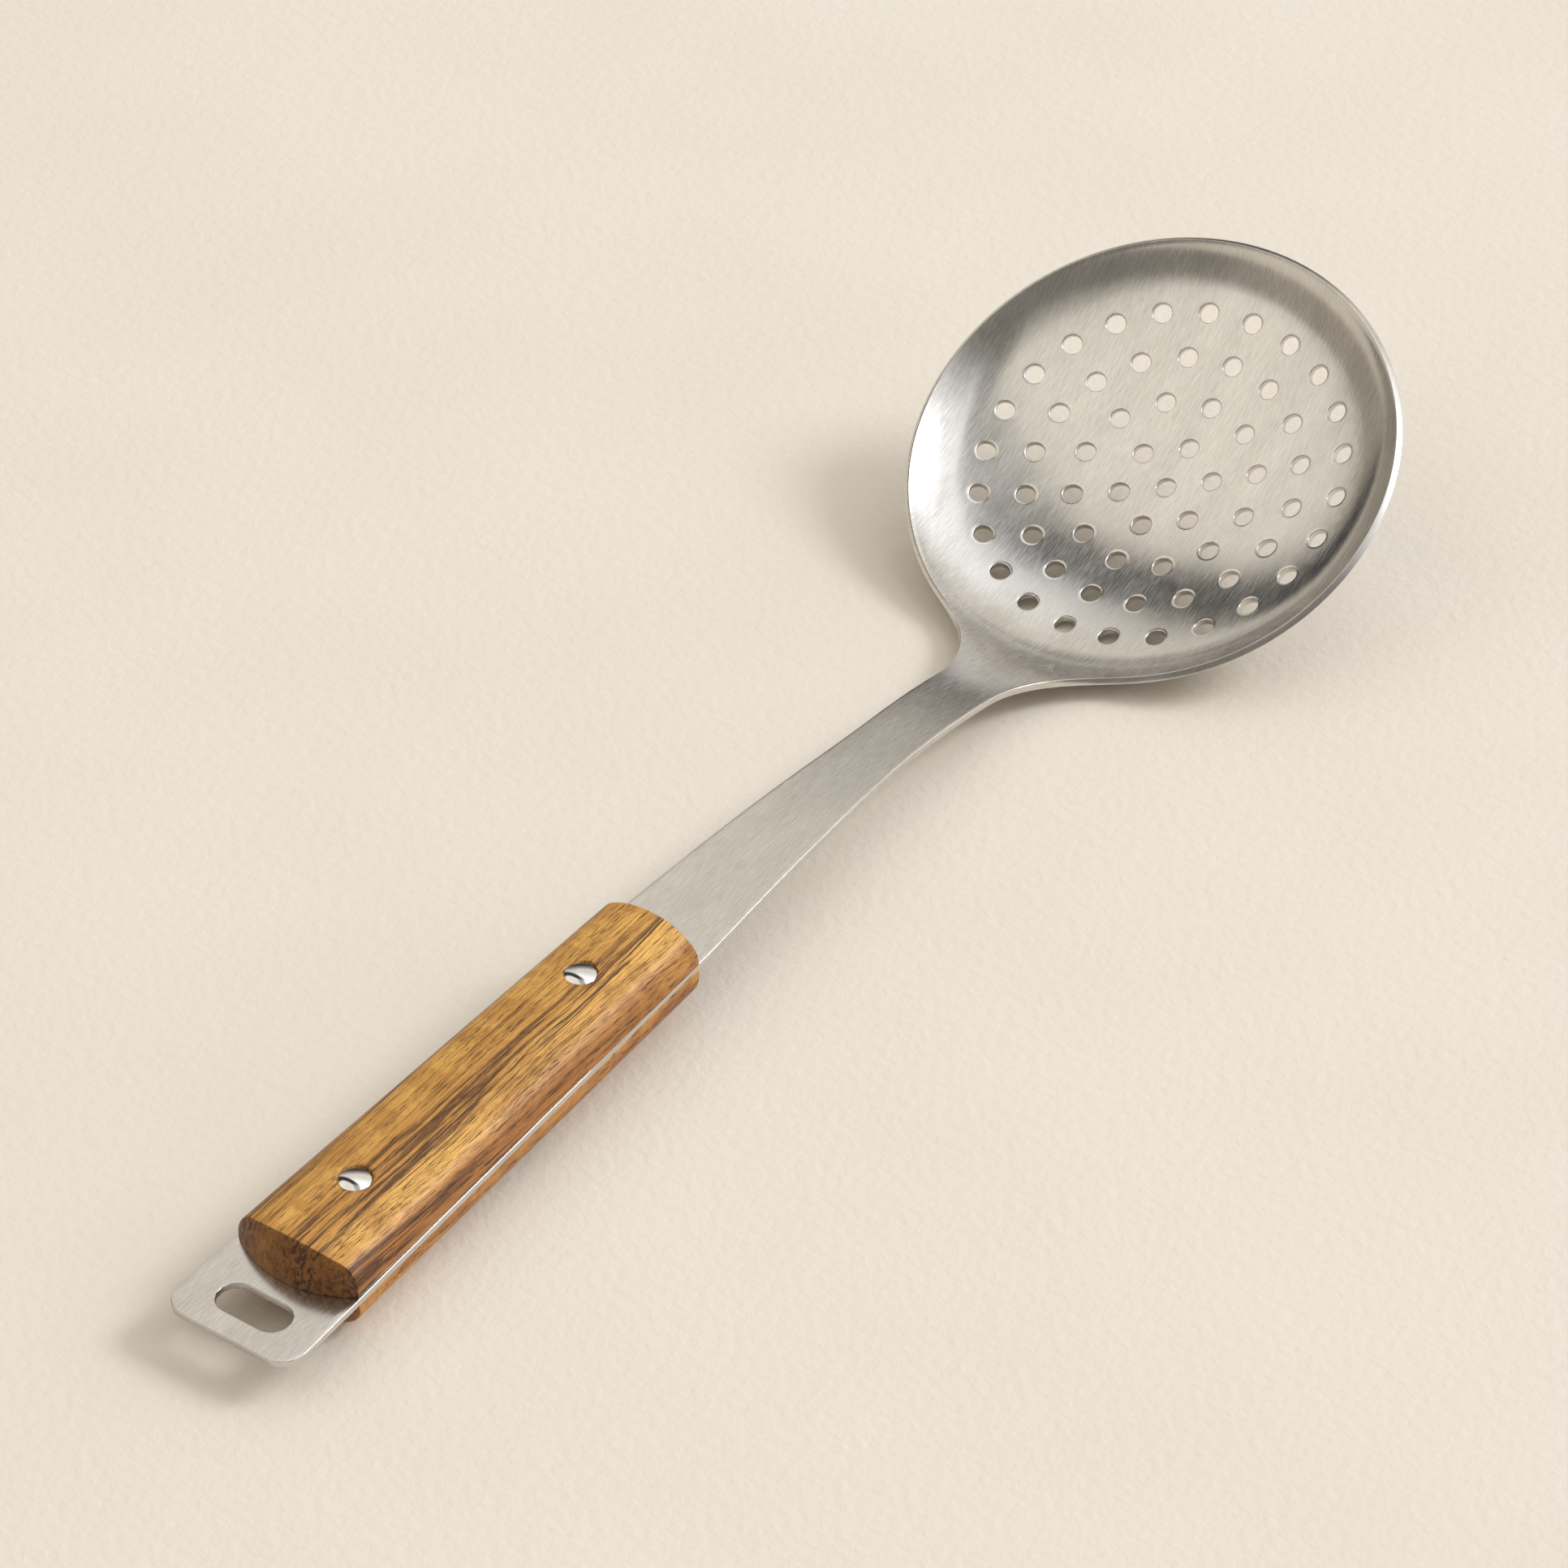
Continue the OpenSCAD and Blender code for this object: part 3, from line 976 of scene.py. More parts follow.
    def build(self) -> bpy.types.Object:
        """Builds the scale.

        Returns:
            The scale, in its place.
        """
        bm = bmesh.new()
        bmesh.ops.create_cube(bm, size=2)
        for axis, cuts in enumerate(self.cuts):
            edges = [e for e in bm.edges if abs((e.verts[0].co - e.verts[1].co)[axis]) > SAME_PLACE]
            bmesh.ops.subdivide_edges(bm, edges=edges, cuts=cuts, use_grid_fill=True)
        for vert in bm.verts:
            vert.co = self._place(vert.co)
        bmesh.ops.recalc_face_normals(bm, faces=bm.faces[:])
        bevel(bm, sharp_edges(bm, self.sharp_angle), self.rounding)
        blank = add_object(bm, "blank")
        self._cut_seats(blank)
        bm = bmesh.new()
        bm.from_mesh(blank.data)
        bpy.data.objects.remove(blank)
        if self.side is Side.LOWER:
            bmesh.ops.scale(bm, vec=(1, 1, -1), verts=bm.verts[:])
            bmesh.ops.translate(bm, vec=(0, 0, -self.sizes.sheet), verts=bm.verts[:])
            bmesh.ops.reverse_faces(bm, faces=bm.faces[:])
        piece = to_object(bm, f"{self.side.name.lower()}_wood_scale", self.rest)
        mark_facing(piece)
        return piece


# --------------------------------------------------------------------------
# The rivets
# --------------------------------------------------------------------------


class Half(Enum):
    """The two halves of a cutlery rivet."""

    CAP = "cap"
    POST = "post"


@dataclass
class Rivet:
    """One half of a two-part rivet, turned from a profile.

    Attributes:
        sizes: The handle's sizes.
        rest: How the skimmer lies.
        place: Distance from the tab's end.
        half: Cap or post.
        name: The piece's name.
        rim_height: Height of the head's straight rim.
        dome_height: Height of the head's dome.
        post_radius: Radius of the post, and of the bore of the sleeve around it.
        sleeve_short: How far the sleeve ends short of the other head's seat.
        bore_short: How far the sleeve's bore ends short of its own head's seat.
        post_short: How far the post ends short of the other head's seat.
        steps: Number of faces around.
        dome_steps: Number of rows on the dome.
        rounding: Rounding of its sharp edges.
        sharp_angle: Least turn between the two faces of an edge that is rounded.
    """

    sizes: HandleSizes
    rest: Rest
    place: float
    half: Half
    name: str
    rim_height: float = 0.8
    dome_height: float = 0.8
    post_radius: float = 1.7
    sleeve_short: float = 1.0
    bore_short: float = 1.0
    post_short: float = 2.0
    steps: int = 64
    dome_steps: int = 12
    rounding: float = 0.12
    sharp_angle: float = 40.0

    def _profile(self) -> list[tuple[float, float]]:
        """The half's outline, as radius and height, from the dome's top to the axis."""
        radius, seat = self.sizes.head_radius, self.sizes.head_seat
        ball = (radius**2 + self.dome_height**2) / (2 * self.dome_height)
        top = seat + self.rim_height + self.dome_height
        widest = math.asin(radius / ball)
        turns = [widest * i / self.dome_steps for i in range(self.dome_steps + 1)]
        points = [(ball * math.sin(turn), top - ball * (1 - math.cos(turn))) for turn in turns]
        points.append((radius, seat))
        far_seat = -self.sizes.sheet - seat
        if self.half is Half.CAP:
            sleeve = self.sizes.sleeve_radius
            sleeve_end, bore_end = far_seat + self.sleeve_short, seat - self.bore_short
            points += [(sleeve, seat), (sleeve, sleeve_end), (self.post_radius, sleeve_end)]
            points += [(self.post_radius, bore_end), (0.0, bore_end)]
        else:
            post_end = far_seat + self.post_short
            points += [(self.post_radius, seat), (self.post_radius, post_end), (0.0, post_end)]
        return points

    def build(self) -> bpy.types.Object:
        """Builds the half.

        Returns:
            The half, in its place.
        """
        bm = bmesh.new()
        verts = [bm.verts.new((radius, 0.0, height)) for radius, height in self._profile()]
        edges = [bm.edges.new(pair) for pair in zip(verts, verts[1:])]
        bmesh.ops.spin(
            bm,
            geom=verts + edges,
            cent=(0, 0, 0),
            axis=(0, 0, 1),
            angle=math.tau,
            steps=self.steps,
            use_merge=True,
        )
        bmesh.ops.remove_doubles(bm, verts=bm.verts[:], dist=SAME_PLACE)
        bmesh.ops.recalc_face_normals(bm, faces=bm.faces[:])
        bevel(bm, sharp_edges(bm, self.sharp_angle), self.rounding)
        if self.half is Half.POST:
            bmesh.ops.rotate(bm, matrix=Matrix.Rotation(math.pi, 3, "X"), verts=bm.verts[:])
            bmesh.ops.translate(bm, vec=(0, 0, -self.sizes.sheet), verts=bm.verts[:])
        bmesh.ops.translate(bm, vec=(self.place, 0, 0), verts=bm.verts[:])
        return to_object(bm, self.name, self.rest)


# --------------------------------------------------------------------------
# Finishes
# --------------------------------------------------------------------------

Socket = bpy.types.NodeSocket
Value = Any
Colour = tuple[float, float, float, float]


@dataclass(frozen=True)
class Pattern:
    """A noise that is stretched along the axes.

    Attributes:
        scale: Cells of the noise per metre along X, Y and Z.
        detail: Number of finer layers.
        roughness: Strength of the finer layers.
    """

    scale: tuple[float, float, float]
    detail: float = 2.0
    roughness: float = 0.5


@dataclass(frozen=True)
class Ramp:
    """A soft change of one value as another goes from low to high.

    Attributes:
        low: Where the change starts.
        high: Where it ends.
        at_low: The value before the change.
        at_high: The value after it.
    """

    low: float
    high: float
    at_low: float = 0.0
    at_high: float = 1.0


class Graph:
    """A node tree that is filled with short calls."""

    def __init__(self, tree: bpy.types.NodeTree) -> None:
        """Takes a tree and empties it."""
        self.tree = tree
        tree.nodes.clear()

    def add(self, kind: str, settings: dict[str, Any] | None = None, **inputs: Value) -> bpy.types.Node:
        """Adds a node.

        Args:
            kind: The node's type, without its ShaderNode prefix.
            settings: Properties of the node itself.
            **inputs: Values or sockets for its inputs, with _ for a space in a name.

        Returns:
            The node.
        """
        node = self.tree.nodes.new(kind if kind.startswith("Node") else "ShaderNode" + kind)
        for name, value in (settings or {}).items():
            setattr(node, name, value)
        for name, value in inputs.items():
            self.feed(node.inputs[name.replace("_", " ")], value)
        return node

    def feed(self, target: Socket, value: Value) -> None:
        """Links a socket to an input, or sets the input's own value."""
        if isinstance(value, Socket):
            self.tree.links.new(value, target)
        else:
            target.default_value = value

    def math(self, operation: str, first: Value, second: Value = 0.0) -> Socket:
        """Adds a sum of two values."""
        node = self.add("Math", {"operation": operation})
        self.feed(node.inputs[0], first)
        self.feed(node.inputs[1], second)
        return node.outputs[0]

    def spread(self, value: Value, ramp: Ramp) -> Socket:
        """Changes a value along a ramp."""
        node = self.add("MapRange", {"interpolation_type": "SMOOTHSTEP"})
        for index, item in enumerate((value, ramp.low, ramp.high, ramp.at_low, ramp.at_high)):
            self.feed(node.inputs[index], item)
        return node.outputs[0]

    def noise(self, vector: Socket, pattern: Pattern, turn: float = 0.0) -> Socket:
        """Adds a noise pattern.

        Args:
            vector: The coordinates it lies on.
            pattern: The pattern.
            turn: How far the stretched coordinates are turned about Z, in radians.

        Returns:
            The noise, from 0 to 1.
        """
        place = self.add("Mapping", Vector=vector, Scale=pattern.scale, Rotation=(0, 0, turn))
        detail, roughness = pattern.detail, pattern.roughness
        vector = place.outputs[0]
        return self.add("TexNoise", Vector=vector, Scale=1.0, Detail=detail, Roughness=roughness).outputs[0]

    def bent(self, vector: Socket, pattern: Pattern, size: float) -> Socket:
        """Moves coordinates to and fro along Y.

        Args:
            vector: The coordinates.
            pattern: The noise that moves them.
            size: How far the noise moves them in all, in metres.

        Returns:
            The moved coordinates.
        """
        away = self.math("SUBTRACT", self.noise(vector, pattern), 0.5)
        shift = self.add("CombineXYZ", Y=self.math("MULTIPLY", away, size))
        moved = self.add("VectorMath", {"operation": "ADD"})
        self.feed(moved.inputs[0], vector)
        self.feed(moved.inputs[1], shift.outputs[0])
        return moved.outputs[0]

    def facing(self) -> dict[str, Socket]:
        """How far the surface faces along X, Y and Z."""
        stored = self.add("Attribute", {"attribute_name": FACING}).outputs["Vector"]
        shares = self.add("SeparateXYZ", Vector=stored).outputs
        return {axis: shares[axis] for axis in "XYZ"}

    def mix(self, share: Value, first: Value, second: Value, blend: str = "MIX") -> Socket:
        """Mixes two colours."""
        node = self.add("Mix", {"data_type": "RGBA", "blend_type": blend})
        self.feed(node.inputs[0], share)
        self.feed(node.inputs[6], first)
        self.feed(node.inputs[7], second)
        return node.outputs[2]


def make_group(
    name: str, inputs: Sequence[tuple[str, str, Value]], outputs: Sequence[str], fill: Callable[..., None]
) -> bpy.types.NodeTree:
    """Builds a shader node group once.

    Args:
        name: The group's name.
        inputs: Name, socket type and usual value of each input.
        outputs: Names of the outputs, which are all single values.
        fill: Fills the graph, given it and its input and output nodes.

    Returns:
        The group.
    """
    tree = bpy.data.node_groups.get(name)
    if tree is not None:
        return tree
    tree = bpy.data.node_groups.new(name, "ShaderNodeTree")
    for label, kind, value in inputs:
        socket = tree.interface.new_socket(label, in_out="INPUT", socket_type=kind)
        if value is not None:
            socket.default_value = value
    for label in outputs:
        tree.interface.new_socket(label, in_out="OUTPUT", socket_type="NodeSocketFloat")
    graph = Graph(tree)
    fill(graph, graph.add("NodeGroupInput"), graph.add("NodeGroupOutput"))
    return tree


@dataclass(frozen=True)
class BrushedLines:
    """Fine straight lines left by a brush: long along X and close across Y."""

    wander: Pattern = Pattern((60, 60, 60), 1)
    wander_size: float = 0.0004
    fine: Pattern = Pattern((350, 5200, 1), 3, 0.6)
    coarse: Pattern = Pattern((220, 2300, 1))
    fine_share: float = 0.65
    cloud: Pattern = Pattern((25, 110, 60), 3)

    def _fill(self, graph: Graph, given: bpy.types.Node, result: bpy.types.Node) -> None:
        """Mixes a fine and a coarse layer of lines, and a cloud that varies them."""
        vector = given.outputs["Vector"]
        along = graph.bent(vector, self.wander, self.wander_size)
        fine = graph.math("MULTIPLY", graph.noise(along, self.fine), self.fine_share)
        coarse = graph.math("MULTIPLY", graph.noise(along, self.coarse), 1 - self.fine_share)
        graph.feed(result.inputs["Lines"], graph.math("ADD", fine, coarse))
        graph.feed(result.inputs["Cloud"], graph.noise(vector, self.cloud))

    def group(self) -> bpy.types.NodeTree:
        """The effect's node group."""
        inputs = [("Vector", "NodeSocketVector", None)]
        return make_group("Brushed lines", inputs, ["Lines", "Cloud"], self._fill)


@dataclass(frozen=True)
class HairlineScratches:
    """Sparse hairline scratches and specks from use."""

    turns: tuple[float, float] = (0.5, -0.9)
    line: Pattern = Pattern((70, 5200, 300), 1)
    line_crest: Ramp = Ramp(0.74, 0.8)
    speck: Pattern = Pattern((2600, 2600, 2600), 0)
    speck_crest: Ramp = Ramp(0.78, 0.84)

    def _fill(self, graph: Graph, given: bpy.types.Node, result: bpy.types.Node) -> None:
        """Keeps only the crests of two stretched noises that run across each other."""
        vector, amount = given.outputs["Vector"], given.outputs["Amount"]
        crests = [graph.spread(graph.noise(vector, self.line, turn), self.line_crest) for turn in self.turns]
        specks = graph.spread(graph.noise(vector, self.speck), self.speck_crest)
        graph.feed(result.inputs["Scratch"], graph.math("MULTIPLY", graph.math("MAXIMUM", *crests), amount))
        graph.feed(result.inputs["Speck"], graph.math("MULTIPLY", specks, amount))

    def group(self) -> bpy.types.NodeTree:
        """The effect's node group."""
        inputs = [("Vector", "NodeSocketVector", None), ("Amount", "NodeSocketFloat", 1.0)]
        return make_group("Hairline scratches", inputs, ["Scratch", "Speck"], self._fill)


def new_material(name: str) -> tuple[bpy.types.Material, Graph]:
    """Makes an empty material and the graph to fill it with."""
    material = bpy.data.materials.new(name)
    material.use_nodes = True
    return material, Graph(material.node_tree)


def finish_material(graph: Graph, height: Socket, distance: float, **surface: Value) -> None:
    """Adds the bump, the surface shader and the output.

    Args:
        graph: The material's graph.
        height: Height of the relief, from 0 to 1.
        distance: Height in metres that 1 stands for.
        **surface: Inputs of the surface shader.
    """
    relief = graph.add("Bump", Height=height, Distance=distance, Strength=1.0)
    shader = graph.add("BsdfPrincipled", Normal=relief.outputs[0], **surface)
    output = graph.add("OutputMaterial")
    graph.feed(output.inputs["Surface"], shader.outputs[0])


@dataclass(frozen=True)
class BrushedSteel:
    """Satin stainless steel, brushed along the skimmer."""

    name: str = "brushed_stainless"
    colour: Colour = (0.76, 0.74, 0.71, 1.0)
    shade: Colour = (0.55, 0.53, 0.50, 1.0)
    line_tone: Ramp = Ramp(0.36, 0.64, 0.0, 0.7)
    cloud_tone: Ramp = Ramp(0.35, 0.65, 0.0, 0.3)
    roughness: Ramp = Ramp(0.4, 1.0, 0.14, 0.25)
    cloud_roughness: float = 0.4
    speck_polish: float = 0.1
    wear: float = 0.22
    scratch_depth: float = 0.5
    brushed_facing: Ramp = Ramp(0.45, 0.7)
    relief: float = 0.000002

    def material(self) -> bpy.types.Material:
        """Builds the material."""
        material, graph = new_material(self.name)
        vector = graph.add("UVMap", {"uv_map": GRAIN}).outputs[0]
        brushed = graph.add("Group", {"node_tree": BrushedLines().group()}, Vector=vector).outputs
        scratches = HairlineScratches().group()
        worn = graph.add("Group", {"node_tree": scratches}, Vector=vector, Amount=self.wear).outputs
        lines, cloud = brushed["Lines"], brushed["Cloud"]
        tone = graph.math("ADD", graph.spread(lines, self.line_tone), graph.spread(cloud, self.cloud_tone))
        colour = graph.mix(tone, self.shade, self.colour)
        dull = graph.math("ADD", lines, graph.math("MULTIPLY", cloud, self.cloud_roughness))
        polish = graph.math("MULTIPLY", worn["Speck"], self.speck_polish)
        rough = graph.math("SUBTRACT", graph.spread(dull, self.roughness), polish)
        cuts = graph.math("MULTIPLY", worn["Scratch"], self.scratch_depth)
        height = graph.math("SUBTRACT", lines, cuts)
        height = graph.math("MULTIPLY", height, graph.spread(graph.facing()["Z"], self.brushed_facing))
        finish_material(graph, height, self.relief, Base_Color=colour, Roughness=rough, Metallic=1.0)
        return material


@dataclass(frozen=True)
class PolishedSteel:
    """Bright polished steel with faint hairlines."""

    name: str = "polished_stainless"
    colour: Colour = (0.80, 0.79, 0.77, 1.0)
    hazed_colour: Colour = (0.72, 0.71, 0.70, 1.0)
    haze: Pattern = Pattern((420, 420, 420), 3)
    haze_tone: Ramp = Ramp(0.35, 0.65)
    haze_roughness: Ramp = Ramp(0.3, 0.7, 0.05, 0.1)
    scratch_roughness: float = 0.15
    wear: float = 0.7
    relief: float = 0.000001

    def material(self) -> bpy.types.Material:
        """Builds the material."""
        material, graph = new_material(self.name)
        vector = graph.add("TexCoord").outputs["Object"]
        scratches = HairlineScratches().group()
        worn = graph.add("Group", {"node_tree": scratches}, Vector=vector, Amount=self.wear).outputs
        haze = graph.noise(vector, self.haze)
        dull = graph.math("MULTIPLY", worn["Scratch"], self.scratch_roughness)
        rough = graph.math("ADD", graph.spread(haze, self.haze_roughness), dull)
        colour = graph.mix(graph.spread(haze, self.haze_tone), self.colour, self.hazed_colour)
        finish_material(graph, worn["Scratch"], self.relief, Base_Color=colour, Roughness=rough, Metallic=1.0)
        return material


@dataclass(frozen=True)
class OiledWood:
    """Oiled hardwood with dark streaks, open pores, a rippled figure and painted shade on its sides.

    Attributes:
        name: The material's name.
        shift: Moves the pattern, in metres, so that no two pieces look the same.
        heart: Where a line of dark streaks runs along the piece, across it in metres.
    """

    name: str
    shift: tuple[float, float, float]
    heart: float
    gold: Colour = (0.88, 0.49, 0.115, 1.0)
    amber: Colour = (0.58, 0.275, 0.055, 1.0)
    brown: Colour = (0.11, 0.045, 0.014, 1.0)
    pore_colour: Colour = (0.09, 0.035, 0.012, 1.0)
    end_shade: Colour = (0.42, 0.33, 0.30, 1.0)
    # Painted shade: the sides of a scale are coloured darker and redder than its top.
    painted_side_shade: Colour = (0.68, 0.56, 0.52, 1.0)
    drift: Pattern = Pattern((14, 45, 45))
    drift_size: float = 0.006
    bands: Pattern = Pattern((7, 110, 70), 3, 0.55)
    streaks: Pattern = Pattern((28, 1300, 800), 4, 0.65)
    ripple: Pattern = Pattern((170, 70, 60))
    pores: Pattern = Pattern((300, 6500, 5000))
    fibres: Pattern = Pattern((500, 6000, 5000))
    band_tone: Ramp = Ramp(0.35, 0.62)
    ripple_tone: Ramp = Ramp(0.46, 0.58, 0.0, 0.7)
    heart_reach: Ramp = Ramp(0.0045, 0.0005)
    dark_bands: Ramp = Ramp(0.45, 0.6, 0.2, 0.9)
    dark_streaks: Ramp = Ramp(0.43, 0.58, 0.0, 0.95)
    open_pores: Ramp = Ramp(0.53, 0.6)
    pore_streaks: Ramp = Ramp(0.4, 0.6, 0.3, 0.9)
    shaded_facing: Ramp = Ramp(0.45, 0.8)
    streak_roughness: Ramp = Ramp(0.3, 0.7, 0.42, 0.55)
    pore_roughness: float = 0.2
    fibre_height: float = 0.3
    relief: float = 0.00005
    coat: float = 0.12
    coat_roughness: float = 0.3
    specular_level: float = 0.4

    def _figure(self, graph: Graph, flow: Socket, streaks: Socket) -> Socket:
        """Colours the wood.

        Args:
            graph: The material's graph.
            flow: The pattern's coordinates.
            streaks: The noise of the dark streaks.

        Returns:
            The colour, without its pores.
        """
        bands = graph.noise(flow, self.bands)
        colour = graph.mix(graph.spread(bands, self.band_tone), self.gold, self.amber)
        ripple = graph.spread(graph.noise(flow, self.ripple), self.ripple_tone)
        colour = graph.mix(ripple, colour, self.amber)
        across = graph.add("SeparateXYZ", Vector=flow).outputs["Y"]
        off_heart = graph.math("ABSOLUTE", graph.math("SUBTRACT", across, self.heart))
        heart = graph.spread(off_heart, self.heart_reach)
        patch = graph.math("MAXIMUM", graph.spread(bands, self.dark_bands), heart)
        dark = graph.math("MULTIPLY", graph.spread(streaks, self.dark_streaks), patch)
        return graph.mix(dark, colour, self.brown)

    def material(self) -> bpy.types.Material:
        """Builds the material."""
        material, graph = new_material(self.name)
        plain = graph.add("TexCoord").outputs["Object"]
        moved = graph.add("Mapping", Vector=plain, Location=self.shift).outputs[0]
        flow = graph.bent(moved, self.drift, self.drift_size)
        streaks = graph.noise(flow, self.streaks)
        pore = graph.spread(graph.noise(flow, self.pores), self.open_pores)
        pore = graph.math("MULTIPLY", pore, graph.spread(streaks, self.pore_streaks))
        colour = graph.mix(pore, self._figure(graph, flow, streaks), self.pore_colour)
        facing = graph.facing()
        # End faces take the darker colour of end grain; side faces take painted shade, darker and redder than
        # the top.
        for axis, shade in (("X", self.end_shade), ("Y", self.painted_side_shade)):
            shaded = graph.mix(1.0, colour, shade, "MULTIPLY")
            colour = graph.mix(graph.spread(facing[axis], self.shaded_facing), colour, shaded)
        dull = graph.math("MULTIPLY", pore, self.pore_roughness)
        rough = graph.math("ADD", graph.spread(streaks, self.streak_roughness), dull)
        fibres = graph.math("MULTIPLY", graph.noise(flow, self.fibres), self.fibre_height)
        finish_material(
            graph,
            graph.math("SUBTRACT", fibres, pore),
            self.relief,
            Base_Color=colour,
            Roughness=rough,
            Coat_Weight=self.coat,
            Coat_Roughness=self.coat_roughness,
            Specular_IOR_Level=self.specular_level,
        )
        return material


@dataclass(frozen=True)
class Plaster:
    """The warm pale table top."""

    name: str = "pale_plaster"
    colour: Colour = (0.80, 0.75, 0.675, 1.0)
    warmth: Colour = (0.985, 0.975, 0.955, 1.0)
    fine: Pattern = Pattern((420, 420, 420), 3)
    fine_height: float = 0.5
    broad: Pattern = Pattern((14, 14, 14))
    broad_tone: Ramp = Ramp(0.3, 0.7)
    relief: float = 0.0005
    roughness: float = 0.85

    def material(self) -> bpy.types.Material:
        """Builds the material."""
        material, graph = new_material(self.name)
        vector = graph.add("TexCoord").outputs["Object"]
        broad = graph.noise(vector, self.broad)
        warmer = tuple(share * warm for share, warm in zip(self.colour, self.warmth))
        colour = graph.mix(graph.spread(broad, self.broad_tone), self.colour, warmer)
        fine = graph.math("MULTIPLY", graph.noise(vector, self.fine), self.fine_height)
        height = graph.math("ADD", fine, broad)
        finish_material(graph, height, self.relief, Base_Color=colour, Roughness=self.roughness)
        return material


# --------------------------------------------------------------------------
# Table, light and camera
# --------------------------------------------------------------------------


@dataclass(frozen=True)
class Camera:
    """The camera, with a long lens.

    Attributes:
        place: Where it stands, in metres.
        target: The point in the middle of the picture.
        roll: Turn about the line of sight, in degrees.
        lens: Focal length, in millimetres.
        sensor: Width of the sensor, in millimetres.
    """

    place: tuple[float, float, float] = (-0.8010, -0.5945, 0.8323)
    target: tuple[float, float, float] = (0.0222, 0.0182, 0.0)
    roll: float = 0.717
    lens: float = 148.9
    sensor: float = 36.0

    def build(self) -> None:
        """Makes the camera and the scene's view."""
        data = bpy.data.cameras.new("camera")
        data.lens, data.sensor_width = self.lens, self.sensor
        camera = bpy.data.objects.new("camera", data)
        bpy.context.scene.collection.objects.link(camera)
        sight = Vector(self.target) - Vector(self.place)
        turn = sight.to_track_quat("-Z", "Y").to_matrix().to_4x4()
        roll = Matrix.Rotation(math.radians(-self.roll), 4, "Z")
        camera.matrix_world = Matrix.Translation(self.place) @ turn @ roll
        bpy.context.scene.camera = camera
        bpy.context.scene.view_settings.view_transform = "Standard"


@dataclass(frozen=True)
class Panel:
    """A panel of light painted on the sky, with soft edges.

    Attributes:
        side: Its edge along the dark gap, by how far right of the gap's middle.
        far: Its edge in front of the camera, by the share away from it.
        near: Its edge behind the camera, by the share away from it.
        colour: Its colour.
        turned_colour: The colour that it changes to.
        change: Where it changes, by height on the left and the share away on the right.
    """

    side: Ramp
    far: Ramp
    near: Ramp
    colour: Colour
    turned_colour: Colour
    change: Ramp

    def mask(self, graph: Graph, slant: Socket, away: Socket) -> Socket:
        """1 on the panel and 0 beside it."""
        ends = graph.math("MULTIPLY", graph.spread(slant, self.side), graph.spread(away, self.far))
        return graph.math("MULTIPLY", ends, graph.spread(away, self.near))


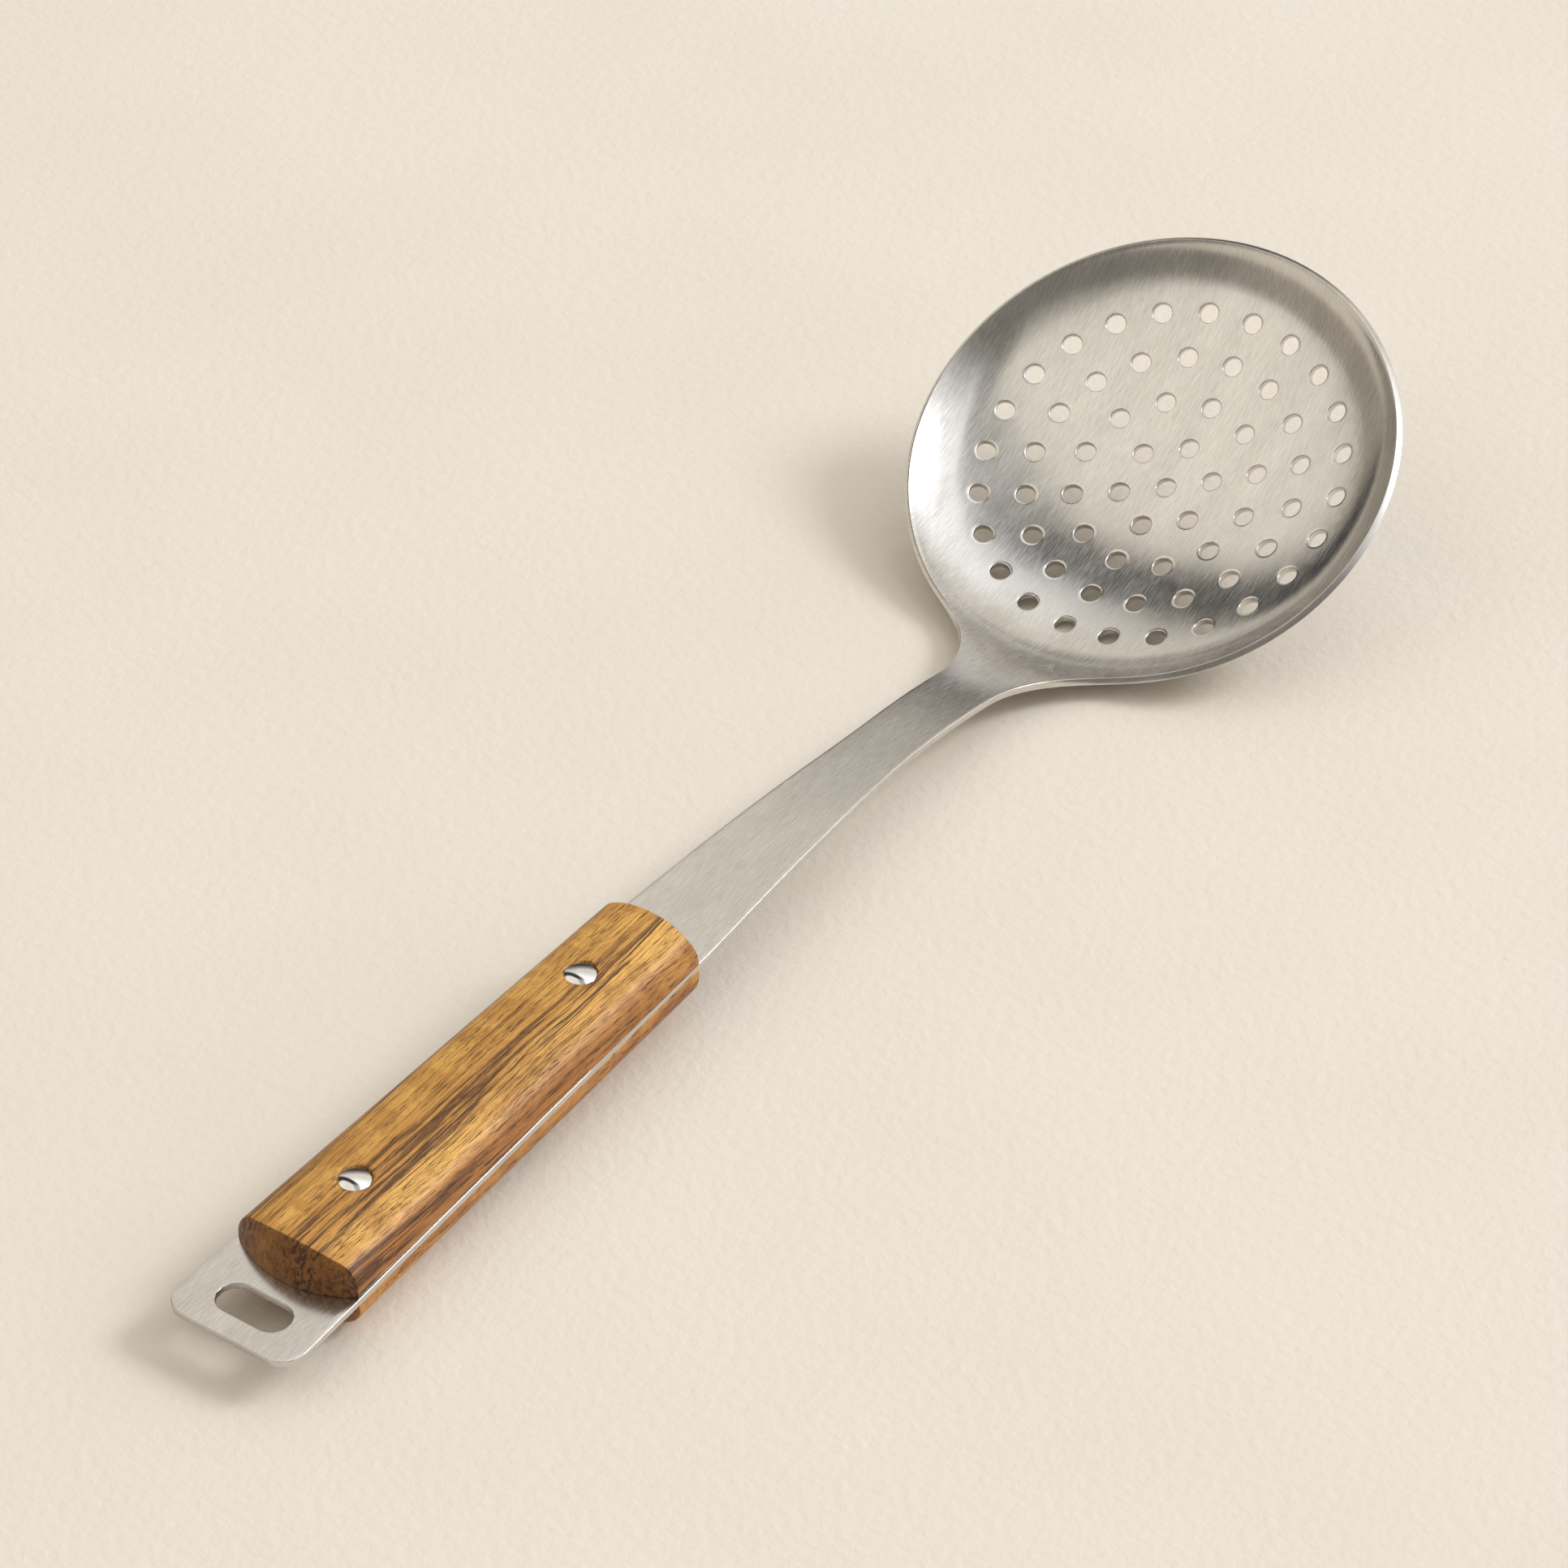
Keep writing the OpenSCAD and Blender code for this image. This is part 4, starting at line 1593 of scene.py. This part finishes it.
@dataclass(frozen=True)
class Studio:
    """A pale table under soft light: a key on the right and panels painted on the sky.

    Directions are given as shares to the right of the camera and away from it.

    Attributes:
        heading: The way that the camera looks, in plan.
        key_right: How far right the key light is, as a share.
        key_away: How far away the key light is, as a share.
        key_distance: Distance to the key light, in metres.
        key_size: Width of the key light, in metres.
        key_power: Power of the key light, in watts.
        table_size: Width of the table, in metres.
        left: The warm panel.
        right: The cool panel.
        far_gap: Where the dark gap between them lies at its far end.
        near_gap: Where it lies at its near end.
        gap_slope: How much the near end turns right with the share away.
        gap_colours: The gap's colour in front, above and behind.
        gap_front: Where the gap changes from its front, by the share away.
        gap_behind: Where it changes to its colour behind.
        backdrop: The colour that the camera itself sees above the table.
    """

    heading: tuple[float, float] = (0.8022, 0.5970)
    key_right: float = 0.76
    key_away: float = 0.08
    key_distance: float = 6.0
    key_size: float = 2.1
    key_power: float = 140.0
    table_size: float = 30.0
    left: Panel = Panel(
        side=Ramp(-0.08, -0.17),
        far=Ramp(0.66, 0.52),
        near=Ramp(-1.0, -0.3),
        colour=(1.05, 0.99, 0.88, 1.0),
        turned_colour=(0.40, 0.36, 0.30, 1.0),
        change=Ramp(0.64, 0.42),
    )
    right: Panel = Panel(
        side=Ramp(0.08, 0.17),
        far=Ramp(1.0, 0.75),
        near=Ramp(-0.7, -0.1),
        colour=(1.35, 1.35, 1.37, 1.0),
        turned_colour=(0.88, 0.83, 0.74, 1.0),
        change=Ramp(0.35, 0.7),
    )
    far_gap: float = 0.2
    near_gap: float = 0.05
    gap_slope: float = 0.37
    gap_colours: tuple[Colour, Colour, Colour] = (
        (0.05, 0.05, 0.055, 1.0),
        (0.52, 0.51, 0.49, 1.0),
        (0.24, 0.225, 0.20, 1.0),
    )
    gap_front: Ramp = Ramp(0.34, 0.08)
    gap_behind: Ramp = Ramp(-0.1, -0.7)
    backdrop: Colour = (0.80, 0.74, 0.63, 1.0)

    def _key(self) -> None:
        """Hangs the key light."""
        away = Vector((*self.heading, 0.0))
        right = Vector((self.heading[1], -self.heading[0], 0.0))
        rise = math.sqrt(1 - self.key_right**2 - self.key_away**2)
        line = self.key_right * right + self.key_away * away + Vector((0, 0, rise))
        data = bpy.data.lights.new("key", "AREA")
        data.shape = "DISK"
        data.size = self.key_size
        data.energy = self.key_power
        lamp = bpy.data.objects.new("key", data)
        lamp.location = line * self.key_distance
        lamp.rotation_mode = "QUATERNION"
        lamp.rotation_quaternion = line.to_track_quat("Z", "Y")
        lamp.visible_camera = False
        bpy.context.scene.collection.objects.link(lamp)

    def _sky(self) -> None:
        """Paints the sky: a warm panel on the left, a cool one on the right and dark between."""
        world = bpy.data.worlds.new("studio")
        world.use_nodes = True
        bpy.context.scene.world = world
        graph = Graph(world.node_tree)
        direction = graph.add("TexCoord").outputs["Generated"]
        shares = []
        for axis in ((self.heading[1], -self.heading[0], 0.0), (*self.heading, 0.0)):
            node = graph.add("VectorMath", {"operation": "DOT_PRODUCT"})
            graph.feed(node.inputs[0], direction)
            graph.feed(node.inputs[1], axis)
            shares.append(node.outputs["Value"])
        right, away = shares
        height = graph.add("SeparateXYZ", Vector=direction).outputs["Z"]
        far_gap = graph.math("SUBTRACT", self.far_gap, away)
        near_gap = graph.math("SUBTRACT", self.near_gap, graph.math("MULTIPLY", away, self.gap_slope))
        slant = graph.math("SUBTRACT", right, graph.math("MINIMUM", far_gap, near_gap))
        front, above, behind = self.gap_colours
        colour = graph.mix(graph.spread(away, self.gap_front), front, above)
        colour = graph.mix(graph.spread(away, self.gap_behind), colour, behind)
        for panel, place in ((self.left, height), (self.right, away)):
            light = graph.mix(graph.spread(place, panel.change), panel.colour, panel.turned_colour)
            colour = graph.mix(panel.mask(graph, slant, away), colour, light)
        seen = graph.add("LightPath").outputs["Is Camera Ray"]
        colour = graph.mix(seen, colour, self.backdrop)
        sky = graph.add("Background", Color=colour, Strength=1.0)
        output = graph.add("OutputWorld")
        graph.feed(output.inputs["Surface"], sky.outputs[0])

    def build(self) -> None:
        """Lays the table and lights it."""
        bm = bmesh.new()
        bmesh.ops.create_grid(bm, x_segments=1, y_segments=1, size=self.table_size / 2)
        table = add_object(bm, "table")
        table.data.materials.append(Plaster().material())
        self._key()
        self._sky()


# --------------------------------------------------------------------------
# The whole skimmer
# --------------------------------------------------------------------------


def dress(piece: bpy.types.Object, material: bpy.types.Material, slot: Slot, nodes: Iterable[str]) -> None:
    """Gives a piece its finish and its place in the frame, and reports it.

    Args:
        piece: The piece.
        material: Its material.
        slot: The record's slot that it belongs to.
        nodes: The CAD nodes that it stands for.
    """
    piece.data.materials.clear()
    piece.data.materials.append(material)
    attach(piece, BODY)
    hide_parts(*nodes)
    LOG.info("%s: %d faces, %s", piece.name, len(piece.data.polygons), slot.value)


def main() -> None:
    """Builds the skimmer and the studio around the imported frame."""
    logging.basicConfig(level=logging.INFO, format="%(name)s: %(message)s")
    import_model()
    Camera().build()
    Studio().build()
    sizes = HandleSizes()
    rest = Rest.from_frame(sizes)
    dress(Blade(sizes, rest).build(), BrushedSteel().material(), Slot.SHEET, ["blade"])
    woods = {
        Side.UPPER: OiledWood("oiled_wood_upper", (0.0, 0.0, 0.0), -0.0045),
        Side.LOWER: OiledWood("oiled_wood_lower", (0.37, 0.11, 0.05), 0.11),
    }
    for side, wood in woods.items():
        node = f"{side.name.lower()}_scale"
        dress(Scale(sizes, rest, side).build(), wood.material(), Slot.WOOD, [node])
    polish = PolishedSteel().material()
    for end, place in zip(("rear", "front"), sizes.rivet_places):
        for half in Half:
            name = f"{end}_rivet_{half.value}"
            piece = Rivet(sizes, rest, place, half, f"{name}_turned").build()
            dress(piece, polish, Slot.RIVET, [name])


if __name__ == "__main__":
    main()
